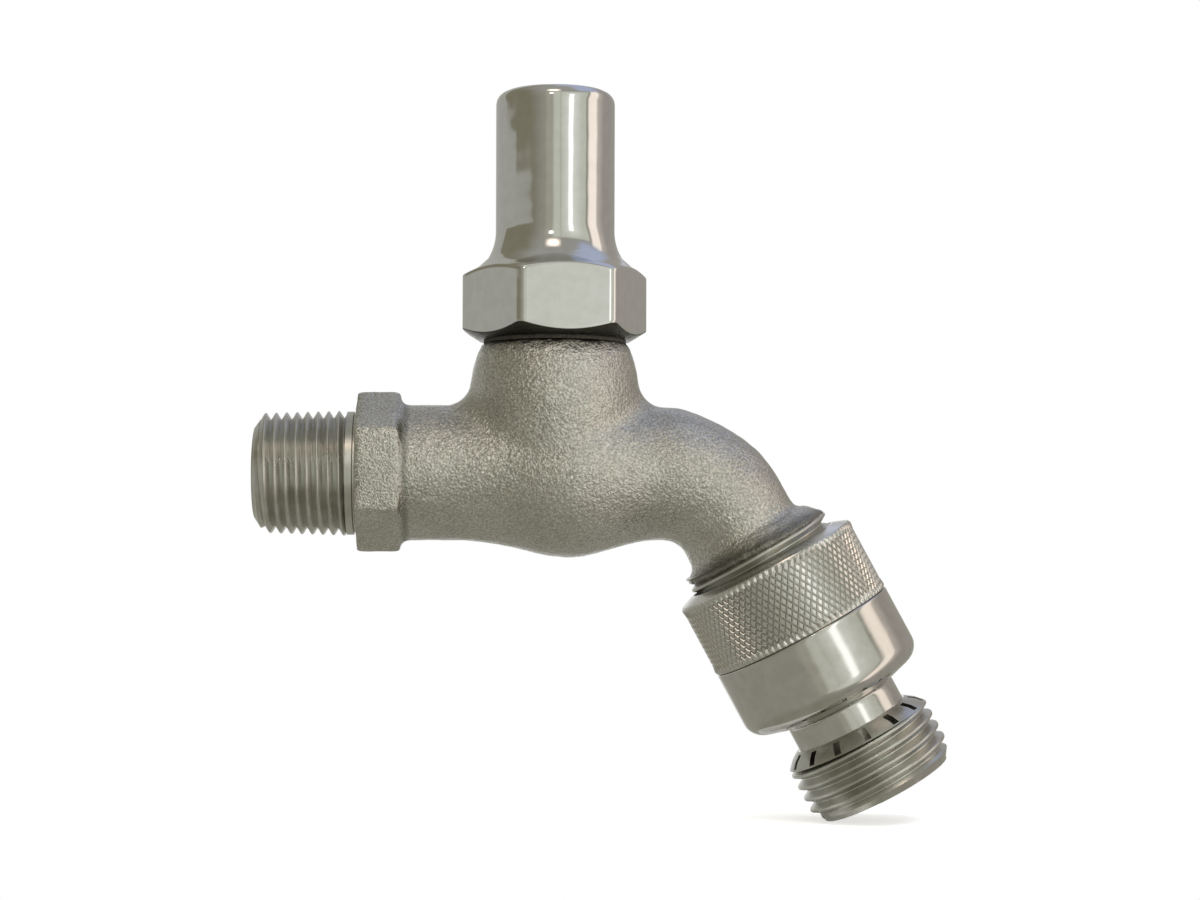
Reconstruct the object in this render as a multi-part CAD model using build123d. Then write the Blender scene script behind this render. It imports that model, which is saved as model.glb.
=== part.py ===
from build123d import *
import os
from math import asin, cos, pi, radians, sin, tan

# Hose bibb with a loose-key bonnet and a hose-connection vacuum breaker, in millimetres.
# The origin is on the inlet axis at the shoulder of the cast wrench hex. +X runs from the
# pipe towards the spout, +Z is up, and the whole casting is symmetric about Y = 0.

# Inlet pipe thread, tapered, and the collar behind it
pipe_thread_length = 16.0
pipe_thread_start_angle = 180.0
pipe_thread_pitch = 1.814
pipe_thread_depth = 1.2
pipe_thread_end_radius = 10.35
pipe_thread_flat = 0.3
pipe_thread_chamfer = 1.6
pipe_taper_angle = 1.79
collar_length = 1.65
collar_drop = 0.15
inlet_bore_radius = 6.35

# Cast wrench hex
cast_hex_length = 7.6
cast_hex_flats = 24.5
cast_hex_z = 0.3
cast_hex_corner_round = 1.2
cast_hex_edge_round = 0.6
cast_hex_root_blend = 1.3
cast_hex_shoulder = 0.5

# Run of the casting: barrel, globe and throat, turned about the inlet axis
run_axis_z = 0.15
barrel_end_x = 17.0
belly_offset = -5.76
belly_radius = 13.3
globe_offset = 2.74
globe_radius = 14.65
throat_radius = 11.55

# Bonnet boss
bonnet_x = 34.26
boss_top_z = 22.6
boss_top_radius = 12.6
boss_neck_z = 19.8
boss_neck_radius = 13.8
boss_side_z = 16.3
boss_side_radius = 14.55
boss_base_z = 11.5
boss_base_radius = 14.75
boss_foot_z = -1.0
boss_foot_radius = 13.3
boss_blend_radius = 4.5

# Spout bend and the hose thread at its end
spout_start_offset = 18.84
spout_angle = 61.5
spout_crotch_radius = 4.8
spout_end_radius = 10.2
spout_end_shift = 1.0
spout_sections = 4
spout_flare_step = 0.5
spout_flare_length = 3.9
spout_thread_length = 12.3
spout_thread_lead = 1.0
spout_thread_start_angle = 180.0
spout_bore_radius = 7.4
spout_bore_depth = 14.5

# Hose threads
hose_pitch = 2.209
hose_crest_radius = 13.35
hose_thread_depth = 1.3
hose_thread_flat = 0.45
thread_flank_angle = 30.0
thread_ridge_sink = 0.15

# Water way through the casting
chamber_radius = 9.8
chamber_floor_z = 5.0
chamber_corner_round = 1.5
bonnet_bore_depth = 8.6
lower_chamber_radius = 6.4
lower_chamber_floor_z = -11.6
lower_chamber_round = 4.8
feed_end_z = -5.4
feed_bore_radius = 5.6
exit_bore_radius = 5.5
exit_start_z = 11.5
exit_knee_radius = 20.0
exit_knee_offset = 1.0

# Seat ring
seat_ring_radius = 6.6
seat_ring_depth = 6.5
seat_flange_radius = 8.2
seat_flange_thickness = 1.2
seat_crown_height = 0.6
seat_crown_width = 1.0
seat_orifice_radius = 4.8

# Bonnet with its lock shield
gasket_thickness = 0.6
gasket_width = 1.4
bonnet_hex_flats = 28.6
bonnet_hex_turn = 7.0
bonnet_hex_round = 0.35
bonnet_hex_height = 11.5
bonnet_foot_inset = 3.3
bonnet_foot_chamfer = 1.4
bonnet_top_inset = 0.8
bonnet_top_chamfer = 1.6
bonnet_crown_step = 2.0
bonnet_crown_height = 2.0
bonnet_cove_height = 5.6
shield_radius = 10.4
shield_height = 43.4
shield_lip_round = 2.1
shield_wall = 2.4
shield_relief = 0.2
bonnet_nipple_radius = 10.9
bonnet_nipple_length = 8.2
holder_space = 0.8
packing_step = 0.5

# Stem, packing and key square
stem_thread_radius = 5.5
stem_thread_length = 12.2
stem_shank_radius = 4.6
stem_square = 6.4
stem_square_length = 6.5
stem_reach = 6.3
key_gap = 0.5
stem_neck_radius = 2.4
stem_button_radius = 3.4
stem_button_thickness = 2.2
stem_chamfer = 0.6
packing_washer_thickness = 1.0
packing_thickness = 5.0
gland_thickness = 1.4
packing_nut_height = 4.5
packing_nut_entry = 0.7
packing_nut_slot = 2.0
packing_nut_slot_depth = 1.6

# Disc holder, washer and screw
disc_holder_radius = 7.0
disc_holder_height = 8.0
disc_cup_depth = 1.6
disc_cup_wall = 0.6
disc_lip_thickness = 1.0
seat_washer_thickness = 2.7
screw_head_radius = 2.7
screw_head_height = 1.5
screw_shank_radius = 1.5
screw_shank_length = 5.2
screw_slot_width = 0.7
screw_slot_depth = 0.7

# Coupling ring on the spout
ring_wall = 1.95
ring_top = 7.0
spigot_length = 2.4
ring_top_chamfer_width = 2.5
ring_top_chamfer_height = 1.0
set_screw_radius = 2.0
set_screw_height = 5.0
set_screw_slot_width = 0.8
set_screw_slot_depth = 1.0
set_screw_sink = 0.3
snap_wire_radius = 0.5
snap_ring_gap = 20.0
snap_ring_inset = 1.1

# Breaker body
split_gap = 0.08
breaker_proud = 0.1
spigot_step = 1.05
spigot_wall = 2.2
body_floor = 3.8
body_edge_round = 0.25
body_corner_round = 3.0
body_foot_inset = 2.1
body_foot_height = 1.4
body_corner_drop = 0.9
neck_radius = 10.05
neck_length = 4.1
cone_start_step = 0.35
cone_mid_inset = 1.25
cone_end_inset = 0.15
cone_length = 2.4
outlet_thread_length = 10.4
outlet_thread_lead = 2.5
outlet_lead_drop = 0.35
outlet_thread_start_angle = 0.0
neck_wall = 1.35
tube_socket_step = 0.3
tube_socket_length = 3.4
tube_socket_lip = 1.0
tube_socket_depth = 1.6
outlet_bore_radius = 9.0
outlet_bore_depth = 6.6
vent_count = 14
vent_width = 1.25
vent_height = 1.8
vent_offset = 0.35

# Check valve and vent parts inside the breaker
hose_washer_thickness = 2.3
hose_washer_bore = 7.6
check_seat_inset = 0.6
check_seat_thickness = 2.2
check_seat_bore = 6.2
seal_wire_radius = 0.7
spacer_wall = 1.1
diaphragm_thickness = 1.2
diaphragm_reach = 0.2
vent_flange_thickness = 1.8
vent_tube_radius = 6.9
vent_tube_wall = 1.4
tube_seal_wire = 0.4
vent_hole_radius = 0.8
vent_hole_count = 12
spider_hub_radius = 3.0
spider_arm_width = 1.6
spider_arm_count = 3
spider_arm_root = 0.5
poppet_lap = 1.4
poppet_thickness = 1.4
poppet_cup_wall = 1.0
poppet_seal_thickness = 1.1
poppet_seal_bore = 4.2
poppet_stem_radius = 1.5
poppet_stem_reach = 0.6
poppet_rim_drop = 0.3
spring_wire_radius = 0.35
spring_coil_radius = 2.6
spring_turns = 3.5

# Motion
stem_pitch = 2.0
stem_turns_to_open = 3.0
poppet_travel = 2.2

# Clearances
running_clearance = 0.05
seat_clearance = 0.1
thread_clearance = 0.1
face_clearance = 0.05
stroke_clearance = 0.3
seal_clearance = 0.02

# How far a cutting or joining shape runs past the face it passes
cut_margin = 1.0
same_place = 0.01

# Places that follow from the sizes
inlet_end_x = -(pipe_thread_length + collar_length)
collar_radius = pipe_thread_end_radius + pipe_thread_length * tan(radians(pipe_taper_angle)) - collar_drop
barrel_radius = cast_hex_flats / 2 - cast_hex_shoulder
belly_x = bonnet_x + belly_offset
globe_x = bonnet_x + globe_offset
spout_start_x = bonnet_x + spout_start_offset
boss_bore_floor_z = boss_top_z - bonnet_bore_depth
stem_lift = stem_pitch * stem_turns_to_open
seat_top_z = chamber_floor_z + seat_flange_thickness + seat_crown_height
washer_bottom_z = seat_top_z + seat_clearance
washer_top_z = washer_bottom_z + seat_washer_thickness
holder_bottom_z = washer_top_z - disc_cup_depth
holder_top_z = holder_bottom_z + disc_holder_height
button_top_z = holder_top_z - disc_lip_thickness - seat_clearance
button_bottom_z = button_top_z - stem_button_thickness
stem_shoulder_z = holder_top_z + stroke_clearance
stem_thread_top_z = stem_shoulder_z + stem_thread_length
bonnet_foot_z = boss_top_z + gasket_thickness
bonnet_hex_corner = bonnet_hex_flats / 2 / cos(pi / 6)
bonnet_foot_radius = bonnet_hex_corner - bonnet_foot_inset
bonnet_top_radius = bonnet_hex_corner - bonnet_top_inset
bonnet_crown_radius = shield_radius + bonnet_crown_step
gasket_radius = bonnet_nipple_radius + thread_clearance + gasket_width
shield_bore_radius = shield_radius - shield_wall
packing_radius = shield_bore_radius - packing_step
bonnet_shoulder_z = bonnet_foot_z + bonnet_hex_height
bonnet_crown_z = bonnet_shoulder_z + bonnet_crown_height
shield_top_z = bonnet_foot_z + shield_height
nipple_bore_top_z = holder_top_z + stem_lift + stroke_clearance
nipple_bore_radius = disc_holder_radius + holder_space
packing_floor_z = stem_thread_top_z + stem_lift + stroke_clearance
packing_bottom_z = packing_floor_z + packing_washer_thickness
gland_bottom_z = packing_bottom_z + packing_thickness
nut_bottom_z = gland_bottom_z + gland_thickness
packing_top_z = nut_bottom_z + packing_nut_entry
nut_top_z = nut_bottom_z + packing_nut_height
stem_top_z = nut_top_z + stem_reach
shield_bore_z = stem_top_z + key_gap

# Radii about the outlet axis
hose_root_radius = hose_crest_radius - hose_thread_depth
spout_flare_radius = hose_root_radius - spout_flare_step
spigot_radius = hose_crest_radius + spigot_step
ring_radius = spigot_radius + running_clearance + ring_wall
breaker_radius = ring_radius + breaker_proud
body_foot_radius = breaker_radius - body_foot_inset
body_chamber_radius = spigot_radius - spigot_wall
insert_radius = body_chamber_radius - face_clearance
cone_start_radius = neck_radius + cone_start_step
cone_mid_radius = hose_crest_radius - cone_mid_inset
cone_end_radius = hose_crest_radius - cone_end_inset
outlet_lead_radius = hose_root_radius - outlet_lead_drop
vent_space_radius = neck_radius - neck_wall
vent_tube_bore = vent_tube_radius - vent_tube_wall
vent_hole_circle = (vent_tube_radius + vent_space_radius) / 2
tube_socket_radius = vent_tube_radius + tube_socket_step
tube_seal_ring_radius = tube_socket_radius - tube_seal_wire
diaphragm_bore = vent_tube_bore - diaphragm_reach
poppet_radius = check_seat_bore + poppet_lap

# Places along the outlet axis, counted from the end of the spout's bend
spout_thread_start = spout_flare_length
spout_end = spout_thread_start + spout_thread_length
washer_start = spout_end + face_clearance
spigot_start = washer_start + hose_washer_thickness + face_clearance
ring_end = spigot_start + spigot_length
snap_place = ring_end - snap_ring_inset
body_start = ring_end + split_gap
seat_insert_start = spigot_start + check_seat_inset
seat_insert_end = seat_insert_start + check_seat_thickness
seat_seal_place = (seat_insert_start + seat_insert_end) / 2
poppet_top = seat_insert_end + seat_clearance
poppet_disc_end = poppet_top + poppet_seal_thickness + poppet_thickness
spring_solid_length = (spring_turns + 1) * 2 * spring_wire_radius
flange_start = poppet_disc_end + poppet_travel + spring_solid_length + stroke_clearance
flange_end = flange_start + vent_flange_thickness
diaphragm_start = flange_start - diaphragm_thickness
body_end = flange_end + body_floor
neck_end = body_end + neck_length
cone_end = neck_end + cone_length
tube_end = cone_end + tube_socket_depth
outlet_end = cone_end + outlet_thread_length
tube_seal_place = tube_end - tube_socket_length / 2

bend_centre = Vector(spout_start_x, 0, run_axis_z - throat_radius - spout_crotch_radius)
spout_turn = radians(spout_angle)
outlet_line_radius = spout_crotch_radius + spout_end_radius + spout_end_shift
outlet_start = bend_centre + Vector(sin(spout_turn), 0, cos(spout_turn)) * outlet_line_radius
outlet_direction = Vector(cos(spout_turn), 0, -sin(spout_turn))
outlet_plane = Plane(
    origin=outlet_start,
    x_dir=Vector(sin(spout_turn), 0, cos(spout_turn)),
    z_dir=outlet_direction,
)
bonnet_plane = Plane(origin=(bonnet_x, 0, 0), z_dir=(0, 0, 1))


def turned(*corners, rounds=None):
    """Solid turned about Z from corners given as (radius, height), with optional corner radii."""
    points = [(radius, 0, height) for radius, height in corners]
    if rounds is None:
        outline = Polyline(*points, close=True)
    else:
        outline = FilletPolyline(*points, radius=rounds, close=True)
    return revolve(make_face(outline), Axis.Z)


def ring(inner, outer, bottom, top):
    """Plain ring about Z, or a disc where inner is zero."""
    return turned((inner, bottom), (outer, bottom), (outer, top), (inner, top))


def wire_ring(centre_radius, wire_radius, height):
    """Round-section ring about Z."""
    return Pos(0, 0, height) * Torus(centre_radius, wire_radius)


def thread_ridge(root, crest, pitch, flat, start, height, taper=0.0):
    """Sixty-degree thread ridge wound about Z, sunk a little into its root."""
    foot = root - thread_ridge_sink
    half_crest = flat / 2
    half_foot = half_crest + (crest - foot) * tan(radians(thread_flank_angle))
    section = [
        (foot, -half_foot),
        (crest, -half_crest),
        (crest, half_crest),
        (foot, half_foot),
    ]
    edges = [
        Edge.make_helix(pitch, height, radius, center=(0, 0, start + offset), angle=taper)
        for radius, offset in section
    ]
    flanks = [
        Face.make_surface_from_curves(edge, following)
        for edge, following in zip(edges, edges[1:] + edges[:1])
    ]
    ends = [
        Face(Wire.make_polygon([edge @ place for edge in edges], close=True))
        for place in (0, 1)
    ]
    return Solid(Shell(flanks + ends))


def make_inlet_thread():
    """Tapered pipe thread with its lead chamfer, drawn from the end face along +Z."""
    growth = tan(radians(pipe_taper_angle))
    root = pipe_thread_end_radius - pipe_thread_depth
    length = pipe_thread_length
    core = turned(
        (0, 0),
        (root, 0),
        (root + length * growth, length),
        (0, length),
    )
    ridge = thread_ridge(
        root,
        pipe_thread_end_radius,
        pipe_thread_pitch,
        pipe_thread_flat,
        0,
        length - pipe_thread_pitch / 2,
        taper=pipe_taper_angle,
    )
    widest = collar_radius + cut_margin
    face_radius = root - pipe_thread_depth
    steepness = pipe_thread_chamfer / (pipe_thread_end_radius - face_radius)
    envelope = turned(
        (0, 0),
        (face_radius, 0),
        (widest, (widest - face_radius) * steepness),
        (widest, length),
        (0, length),
    )
    return Rot(0, 0, pipe_thread_start_angle) * ((core + ridge) & envelope)


def make_run():
    """Barrel, globe and throat turned about the run axis, drawn along +Z."""
    belly = Spline(
        (barrel_radius, 0, barrel_end_x),
        (belly_radius, 0, belly_x),
        (globe_radius, 0, globe_x),
        (throat_radius, 0, spout_start_x),
        tangents=[(0, 0, 1), (0, 0, 1)],
    )
    outline = [
        Line((0, 0, 0), (barrel_radius, 0, 0)),
        Line((barrel_radius, 0, 0), (barrel_radius, 0, barrel_end_x)),
        belly,
        Line((throat_radius, 0, spout_start_x), (0, 0, spout_start_x)),
        Line((0, 0, spout_start_x), (0, 0, 0)),
    ]
    return revolve(make_face(outline), Axis.Z)


def make_boss():
    """Bonnet boss with its tapered top, drawn on the bonnet axis down into the globe."""
    side = Spline(
        (boss_foot_radius, 0, boss_foot_z),
        (boss_base_radius, 0, boss_base_z),
        (boss_side_radius, 0, boss_side_z),
        (boss_neck_radius, 0, boss_neck_z),
        (boss_top_radius, 0, boss_top_z),
    )
    outline = [
        Line((0, 0, boss_foot_z), (boss_foot_radius, 0, boss_foot_z)),
        side,
        Line((boss_top_radius, 0, boss_top_z), (0, 0, boss_top_z)),
        Line((0, 0, boss_top_z), (0, 0, boss_foot_z)),
    ]
    return revolve(make_face(outline), Axis.Z)


def bend_section(angle, radius):
    """Circle across the spout at an angle of the bend, held on the crotch radius."""
    turn = radians(angle)
    outwards = Vector(sin(turn), 0, cos(turn))
    centre = bend_centre + outwards * (spout_crotch_radius + radius)
    plane = Plane(origin=centre, x_dir=outwards, z_dir=(cos(turn), 0, -sin(turn)))
    return plane * Circle(radius)


def make_spout():
    """Bent spout with its flare, lofted through circles from the throat to the thread."""
    sections = []
    for index in range(spout_sections + 1):
        share = index / spout_sections
        radius = throat_radius + (spout_end_radius - throat_radius) * share
        sections.append(bend_section(spout_angle * share, radius))
    sections.append(outlet_plane.offset(spout_flare_length) * Circle(spout_flare_radius))
    return loft(sections)


def make_hose_thread(start, length, lead, lead_radius, start_angle):
    """Male hose thread about Z with a lead chamfer at its far end."""
    end = start + length
    core = ring(0, hose_root_radius, start, end)
    ridge = thread_ridge(
        hose_root_radius,
        hose_crest_radius,
        hose_pitch,
        hose_thread_flat,
        start + hose_pitch / 2,
        length - hose_pitch / 2,
    )
    widest = hose_crest_radius + cut_margin
    steepness = lead / (hose_crest_radius - lead_radius)
    envelope = turned(
        (0, start),
        (widest, start),
        (widest, end - (widest - lead_radius) * steepness),
        (lead_radius, end),
        (0, end),
    )
    return Rot(0, 0, start_angle) * ((core + ridge) & envelope)


def make_water_way():
    """Everything that water or the valve's inner pieces fill inside the casting."""
    inlet = Pos(inlet_end_x - cut_margin, 0, 0) * Rot(0, 90, 0) * ring(
        0, inlet_bore_radius, 0, cast_hex_length - inlet_end_x + cut_margin
    )
    feed_start = Vector(cast_hex_length - cut_margin, 0, 0)
    feed_end = Vector(bonnet_x, 0, feed_end_z)
    feed_path = Line(feed_start, feed_end)
    feed_plane = Plane(origin=feed_start, z_dir=feed_end - feed_start)
    feed = sweep(feed_plane * Circle(feed_bore_radius), feed_path)
    lower_chamber = bonnet_plane * turned(
        (0, lower_chamber_floor_z),
        (lower_chamber_radius, lower_chamber_floor_z),
        (lower_chamber_radius, chamber_floor_z),
        (0, chamber_floor_z),
        rounds=[0, lower_chamber_round, 0, 0],
    )
    seat_hole = bonnet_plane * ring(
        0,
        seat_ring_radius + thread_clearance,
        chamber_floor_z - seat_ring_depth,
        chamber_floor_z + cut_margin,
    )
    chamber = bonnet_plane * turned(
        (0, chamber_floor_z),
        (chamber_radius, chamber_floor_z),
        (chamber_radius, boss_bore_floor_z + cut_margin),
        (0, boss_bore_floor_z + cut_margin),
        rounds=[0, chamber_corner_round, 0, 0],
    )
    boss_bore = bonnet_plane * ring(
        0, bonnet_nipple_radius + thread_clearance, boss_bore_floor_z, boss_top_z + cut_margin
    )
    exit_start = Vector(bonnet_x + lower_chamber_radius, 0, exit_start_z)
    knee = outlet_start - outlet_direction * exit_knee_offset
    exit_end = outlet_start + outlet_direction * (spout_end + cut_margin)
    exit_path = FilletPolyline(exit_start, knee, exit_end, radius=exit_knee_radius)
    exit_plane = Plane(origin=exit_start, z_dir=knee - exit_start)
    exit_bore = sweep(exit_plane * Circle(exit_bore_radius), exit_path)
    mouth = outlet_plane * ring(
        0, spout_bore_radius, spout_end - spout_bore_depth, spout_end + cut_margin
    )
    return [inlet, feed, lower_chamber, seat_hole, chamber, boss_bore, exit_bore, mouth]


def make_cast_hex():
    """Cast wrench hex with rounded corners and edges, drawn along +Z from the shoulder."""
    across_corners = cast_hex_flats / 2 / cos(pi / 6)
    sketch = RegularPolygon(across_corners, 6)
    sketch = fillet(sketch.vertices(), cast_hex_corner_round)
    prism = extrude(sketch, cast_hex_length)
    rim = prism.faces().sort_by(Axis.Z)[-1].edges()
    return fillet(rim, cast_hex_edge_round)


def blend_boss(casting):
    """Blend between boss and run, along the saddle curve where they cross."""
    low_x = bonnet_x - 2 * boss_base_radius
    high_x = bonnet_x + 2 * boss_base_radius
    saddle = []
    for edge in casting.edges():
        box = edge.bounding_box()
        across = low_x < box.min.X and box.max.X < high_x
        between = run_axis_z < box.min.Z and box.max.Z < boss_side_z
        if across and between and edge.length > boss_base_radius:
            saddle.append(edge)
    return fillet(saddle, boss_blend_radius)


def blend_hex(casting):
    """Blend between the cast hex and the barrel."""
    root = []
    for edge in casting.edges().filter_by(GeomType.CIRCLE):
        on_face = abs(edge.center().X - cast_hex_length) < same_place
        if on_face and abs(edge.radius - barrel_radius) < same_place:
            root.append(edge)
    return fillet(root, cast_hex_root_blend)


def make_body_casting():
    """The whole casting with its two threads and its water way."""
    along_inlet = Rot(0, 90, 0)
    inlet_thread = Pos(inlet_end_x, 0, 0) * along_inlet * make_inlet_thread()
    collar = Pos(-collar_length, 0, 0) * along_inlet * ring(0, collar_radius, 0, collar_length)
    cast_hex = Pos(0, 0, cast_hex_z) * along_inlet * make_cast_hex()
    run = Pos(0, 0, run_axis_z) * along_inlet * make_run()
    boss = bonnet_plane * make_boss()
    spout_thread = outlet_plane * make_hose_thread(
        spout_thread_start,
        spout_thread_length,
        spout_thread_lead,
        hose_root_radius,
        spout_thread_start_angle,
    )
    casting = blend_boss(run + boss + make_spout())
    casting = blend_hex(casting + cast_hex)
    casting += collar
    casting += inlet_thread
    casting += spout_thread
    for space in make_water_way():
        casting -= space
    return casting


def make_seat_ring():
    """Renewable seat with its raised crown."""
    flange_top = chamber_floor_z + seat_flange_thickness
    crown_radius = seat_orifice_radius + seat_crown_width
    return bonnet_plane * turned(
        (seat_orifice_radius, chamber_floor_z - seat_ring_depth),
        (seat_ring_radius, chamber_floor_z - seat_ring_depth),
        (seat_ring_radius, chamber_floor_z),
        (seat_flange_radius, chamber_floor_z),
        (seat_flange_radius, flange_top),
        (crown_radius, flange_top),
        (crown_radius, seat_top_z),
        (seat_orifice_radius, seat_top_z),
    )


def make_bonnet():
    """Bonnet turned from hex bar: nipple, hex, crown and the tall lock shield."""
    sketch = fillet(RegularPolygon(bonnet_hex_corner, 6).vertices(), bonnet_hex_round)
    hexagon = Rot(0, 0, bonnet_hex_turn) * extrude(sketch, bonnet_hex_height)
    hexagon = Pos(0, 0, bonnet_foot_z) * hexagon
    widest = bonnet_hex_corner + cut_margin
    foot_slope = (widest - bonnet_foot_radius) / bonnet_foot_inset
    top_slope = (widest - bonnet_top_radius) / bonnet_top_inset
    envelope = turned(
        (0, bonnet_foot_z),
        (bonnet_foot_radius, bonnet_foot_z),
        (widest, bonnet_foot_z + bonnet_foot_chamfer * foot_slope),
        (widest, bonnet_shoulder_z - bonnet_top_chamfer * top_slope),
        (bonnet_top_radius, bonnet_shoulder_z),
        (0, bonnet_shoulder_z),
    )
    hexagon = hexagon & envelope
    cove_top_z = bonnet_crown_z + bonnet_cove_height
    cove_step = bonnet_crown_radius - shield_radius
    cove_radius = (bonnet_cove_height**2 + cove_step**2) / (2 * cove_step)
    cove_turn = asin(bonnet_cove_height / cove_radius) / 2
    cove_middle = (
        shield_radius + cove_radius * (1 - cos(cove_turn)),
        0,
        cove_top_z - cove_radius * sin(cove_turn),
    )
    cove = ThreePointArc(
        (bonnet_crown_radius, 0, bonnet_crown_z),
        cove_middle,
        (shield_radius, 0, cove_top_z),
    )
    crown_outline = [
        Line((0, 0, bonnet_shoulder_z), (bonnet_hex_flats / 2, 0, bonnet_shoulder_z)),
        Line((bonnet_hex_flats / 2, 0, bonnet_shoulder_z), (bonnet_crown_radius, 0, bonnet_crown_z)),
        cove,
        Line((shield_radius, 0, cove_top_z), (0, 0, cove_top_z)),
        Line((0, 0, cove_top_z), (0, 0, bonnet_shoulder_z)),
    ]
    crown = revolve(make_face(crown_outline), Axis.Z)
    shield = turned(
        (0, bonnet_crown_z),
        (shield_radius, bonnet_crown_z),
        (shield_radius, shield_top_z),
        (0, shield_top_z),
        rounds=[0, 0, shield_lip_round, 0],
    )
    nipple_end_z = bonnet_foot_z - bonnet_nipple_length
    nipple = ring(0, bonnet_nipple_radius, nipple_end_z, bonnet_foot_z + cut_margin)
    bonnet = hexagon + crown + shield + nipple
    relief_radius = shield_bore_radius + shield_relief
    stem_bore_radius = stem_thread_radius + running_clearance
    bonnet -= ring(0, nipple_bore_radius, nipple_end_z - cut_margin, nipple_bore_top_z)
    bonnet -= ring(0, stem_bore_radius, nipple_end_z, packing_floor_z + cut_margin)
    bonnet -= ring(0, packing_radius + face_clearance, packing_floor_z, packing_top_z + cut_margin)
    bonnet -= ring(0, relief_radius, packing_top_z, shield_bore_z)
    bonnet -= ring(0, shield_bore_radius, shield_bore_z, shield_top_z + cut_margin)
    return bonnet_plane * bonnet


def make_bonnet_gasket():
    """Thin ring between boss and bonnet."""
    return bonnet_plane * ring(
        bonnet_nipple_radius + thread_clearance, gasket_radius, boss_top_z, bonnet_foot_z
    )


def make_packing_set():
    """Washer, packing and gland ring stacked on the packing floor, and the nut above."""
    bore = stem_shank_radius + running_clearance
    washer = ring(bore, packing_radius, packing_floor_z, packing_bottom_z)
    packing = ring(bore, packing_radius, packing_bottom_z, gland_bottom_z)
    gland = ring(bore, packing_radius, gland_bottom_z, nut_bottom_z)
    nut = ring(bore, packing_radius, nut_bottom_z, packing_top_z)
    nut += ring(
        bore, shield_bore_radius + shield_relief - face_clearance, packing_top_z, nut_top_z
    )
    slot = Pos(0, 0, nut_top_z) * Box(
        2 * shield_radius, packing_nut_slot, 2 * packing_nut_slot_depth
    )
    nut -= slot
    nut -= Rot(0, 0, 90) * slot
    return [bonnet_plane * piece for piece in (washer, packing, gland, nut)]


def make_stem():
    """Stem from its swivel button up to the key square."""
    stem = turned(
        (0, button_bottom_z),
        (stem_button_radius, button_bottom_z),
        (stem_button_radius, button_top_z),
        (stem_neck_radius, button_top_z),
        (stem_neck_radius, stem_shoulder_z),
        (stem_thread_radius - stem_chamfer, stem_shoulder_z),
        (stem_thread_radius, stem_shoulder_z + stem_chamfer),
        (stem_thread_radius, stem_thread_top_z - stem_chamfer),
        (stem_shank_radius, stem_thread_top_z),
        (stem_shank_radius, stem_top_z - stem_chamfer),
        (stem_shank_radius - stem_chamfer, stem_top_z),
        (0, stem_top_z),
    )
    square_zone = ring(
        0,
        stem_shank_radius + cut_margin,
        stem_top_z - stem_square_length,
        stem_top_z + cut_margin,
    )
    square_bar = Pos(0, 0, stem_top_z) * Box(
        stem_square, stem_square, 2 * (stem_square_length + cut_margin)
    )
    stem -= square_zone - square_bar
    return bonnet_plane * stem


def make_disc_holder():
    """Cup for the washer below, socket for the stem's button above."""
    cup_radius = disc_holder_radius - disc_cup_wall
    holder = ring(0, disc_holder_radius, holder_bottom_z, holder_top_z)
    button_space = stem_button_radius + running_clearance
    neck_space = stem_neck_radius + running_clearance
    screw_space = screw_shank_radius + face_clearance
    lip_z = holder_top_z - disc_lip_thickness
    screw_top_z = washer_bottom_z + screw_shank_length + face_clearance
    holder -= ring(0, cup_radius, holder_bottom_z - cut_margin, washer_top_z)
    holder -= ring(0, button_space, button_bottom_z - seat_clearance, lip_z)
    holder -= ring(0, neck_space, button_top_z, holder_top_z + cut_margin)
    holder -= ring(0, screw_space, washer_top_z - cut_margin, screw_top_z)
    return bonnet_plane * holder


def make_seat_washer():
    """Flat rubber washer that shuts on the seat."""
    radius = disc_holder_radius - disc_cup_wall - face_clearance
    return bonnet_plane * ring(
        screw_shank_radius + face_clearance, radius, washer_bottom_z, washer_top_z
    )


def make_washer_screw():
    """Slotted screw that holds the washer."""
    head_bottom_z = washer_bottom_z - screw_head_height
    screw = ring(0, screw_head_radius, head_bottom_z, washer_bottom_z)
    screw += ring(
        0, screw_shank_radius, head_bottom_z, washer_bottom_z + screw_shank_length
    )
    screw -= Pos(0, 0, head_bottom_z) * Box(
        3 * screw_head_radius, screw_slot_width, 2 * screw_slot_depth
    )
    return bonnet_plane * screw


def make_coupling_ring():
    """Coupling ring with its thread bore, spigot socket, snap groove and set-screw hole."""
    thread_bore = hose_crest_radius + thread_clearance
    shoulder = washer_start - face_clearance
    socket = spigot_radius + running_clearance
    body = turned(
        (thread_bore, ring_top),
        (ring_radius - ring_top_chamfer_width, ring_top),
        (ring_radius, ring_top + ring_top_chamfer_height),
        (ring_radius, ring_end),
        (socket, ring_end),
        (socket, shoulder),
        (thread_bore, shoulder),
    )
    body -= wire_ring(spigot_radius, snap_wire_radius + face_clearance, snap_place)
    hole = Pos(0, 0, ring_top + set_screw_height) * Rot(90, 0, 0) * ring(
        0, set_screw_radius + thread_clearance, 0, ring_radius + cut_margin
    )
    body -= hole
    return outlet_plane * body


def make_set_screw():
    """Set screw in the coupling ring, on the side away from the camera."""
    inner = hose_crest_radius + seat_clearance
    outer = ring_radius - set_screw_sink
    screw = ring(0, set_screw_radius, inner, outer)
    screw -= Pos(0, 0, outer) * Box(
        3 * set_screw_radius, set_screw_slot_width, 2 * set_screw_slot_depth
    )
    screw = Pos(0, 0, ring_top + set_screw_height) * Rot(90, 0, 0) * screw
    return outlet_plane * screw


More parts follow.
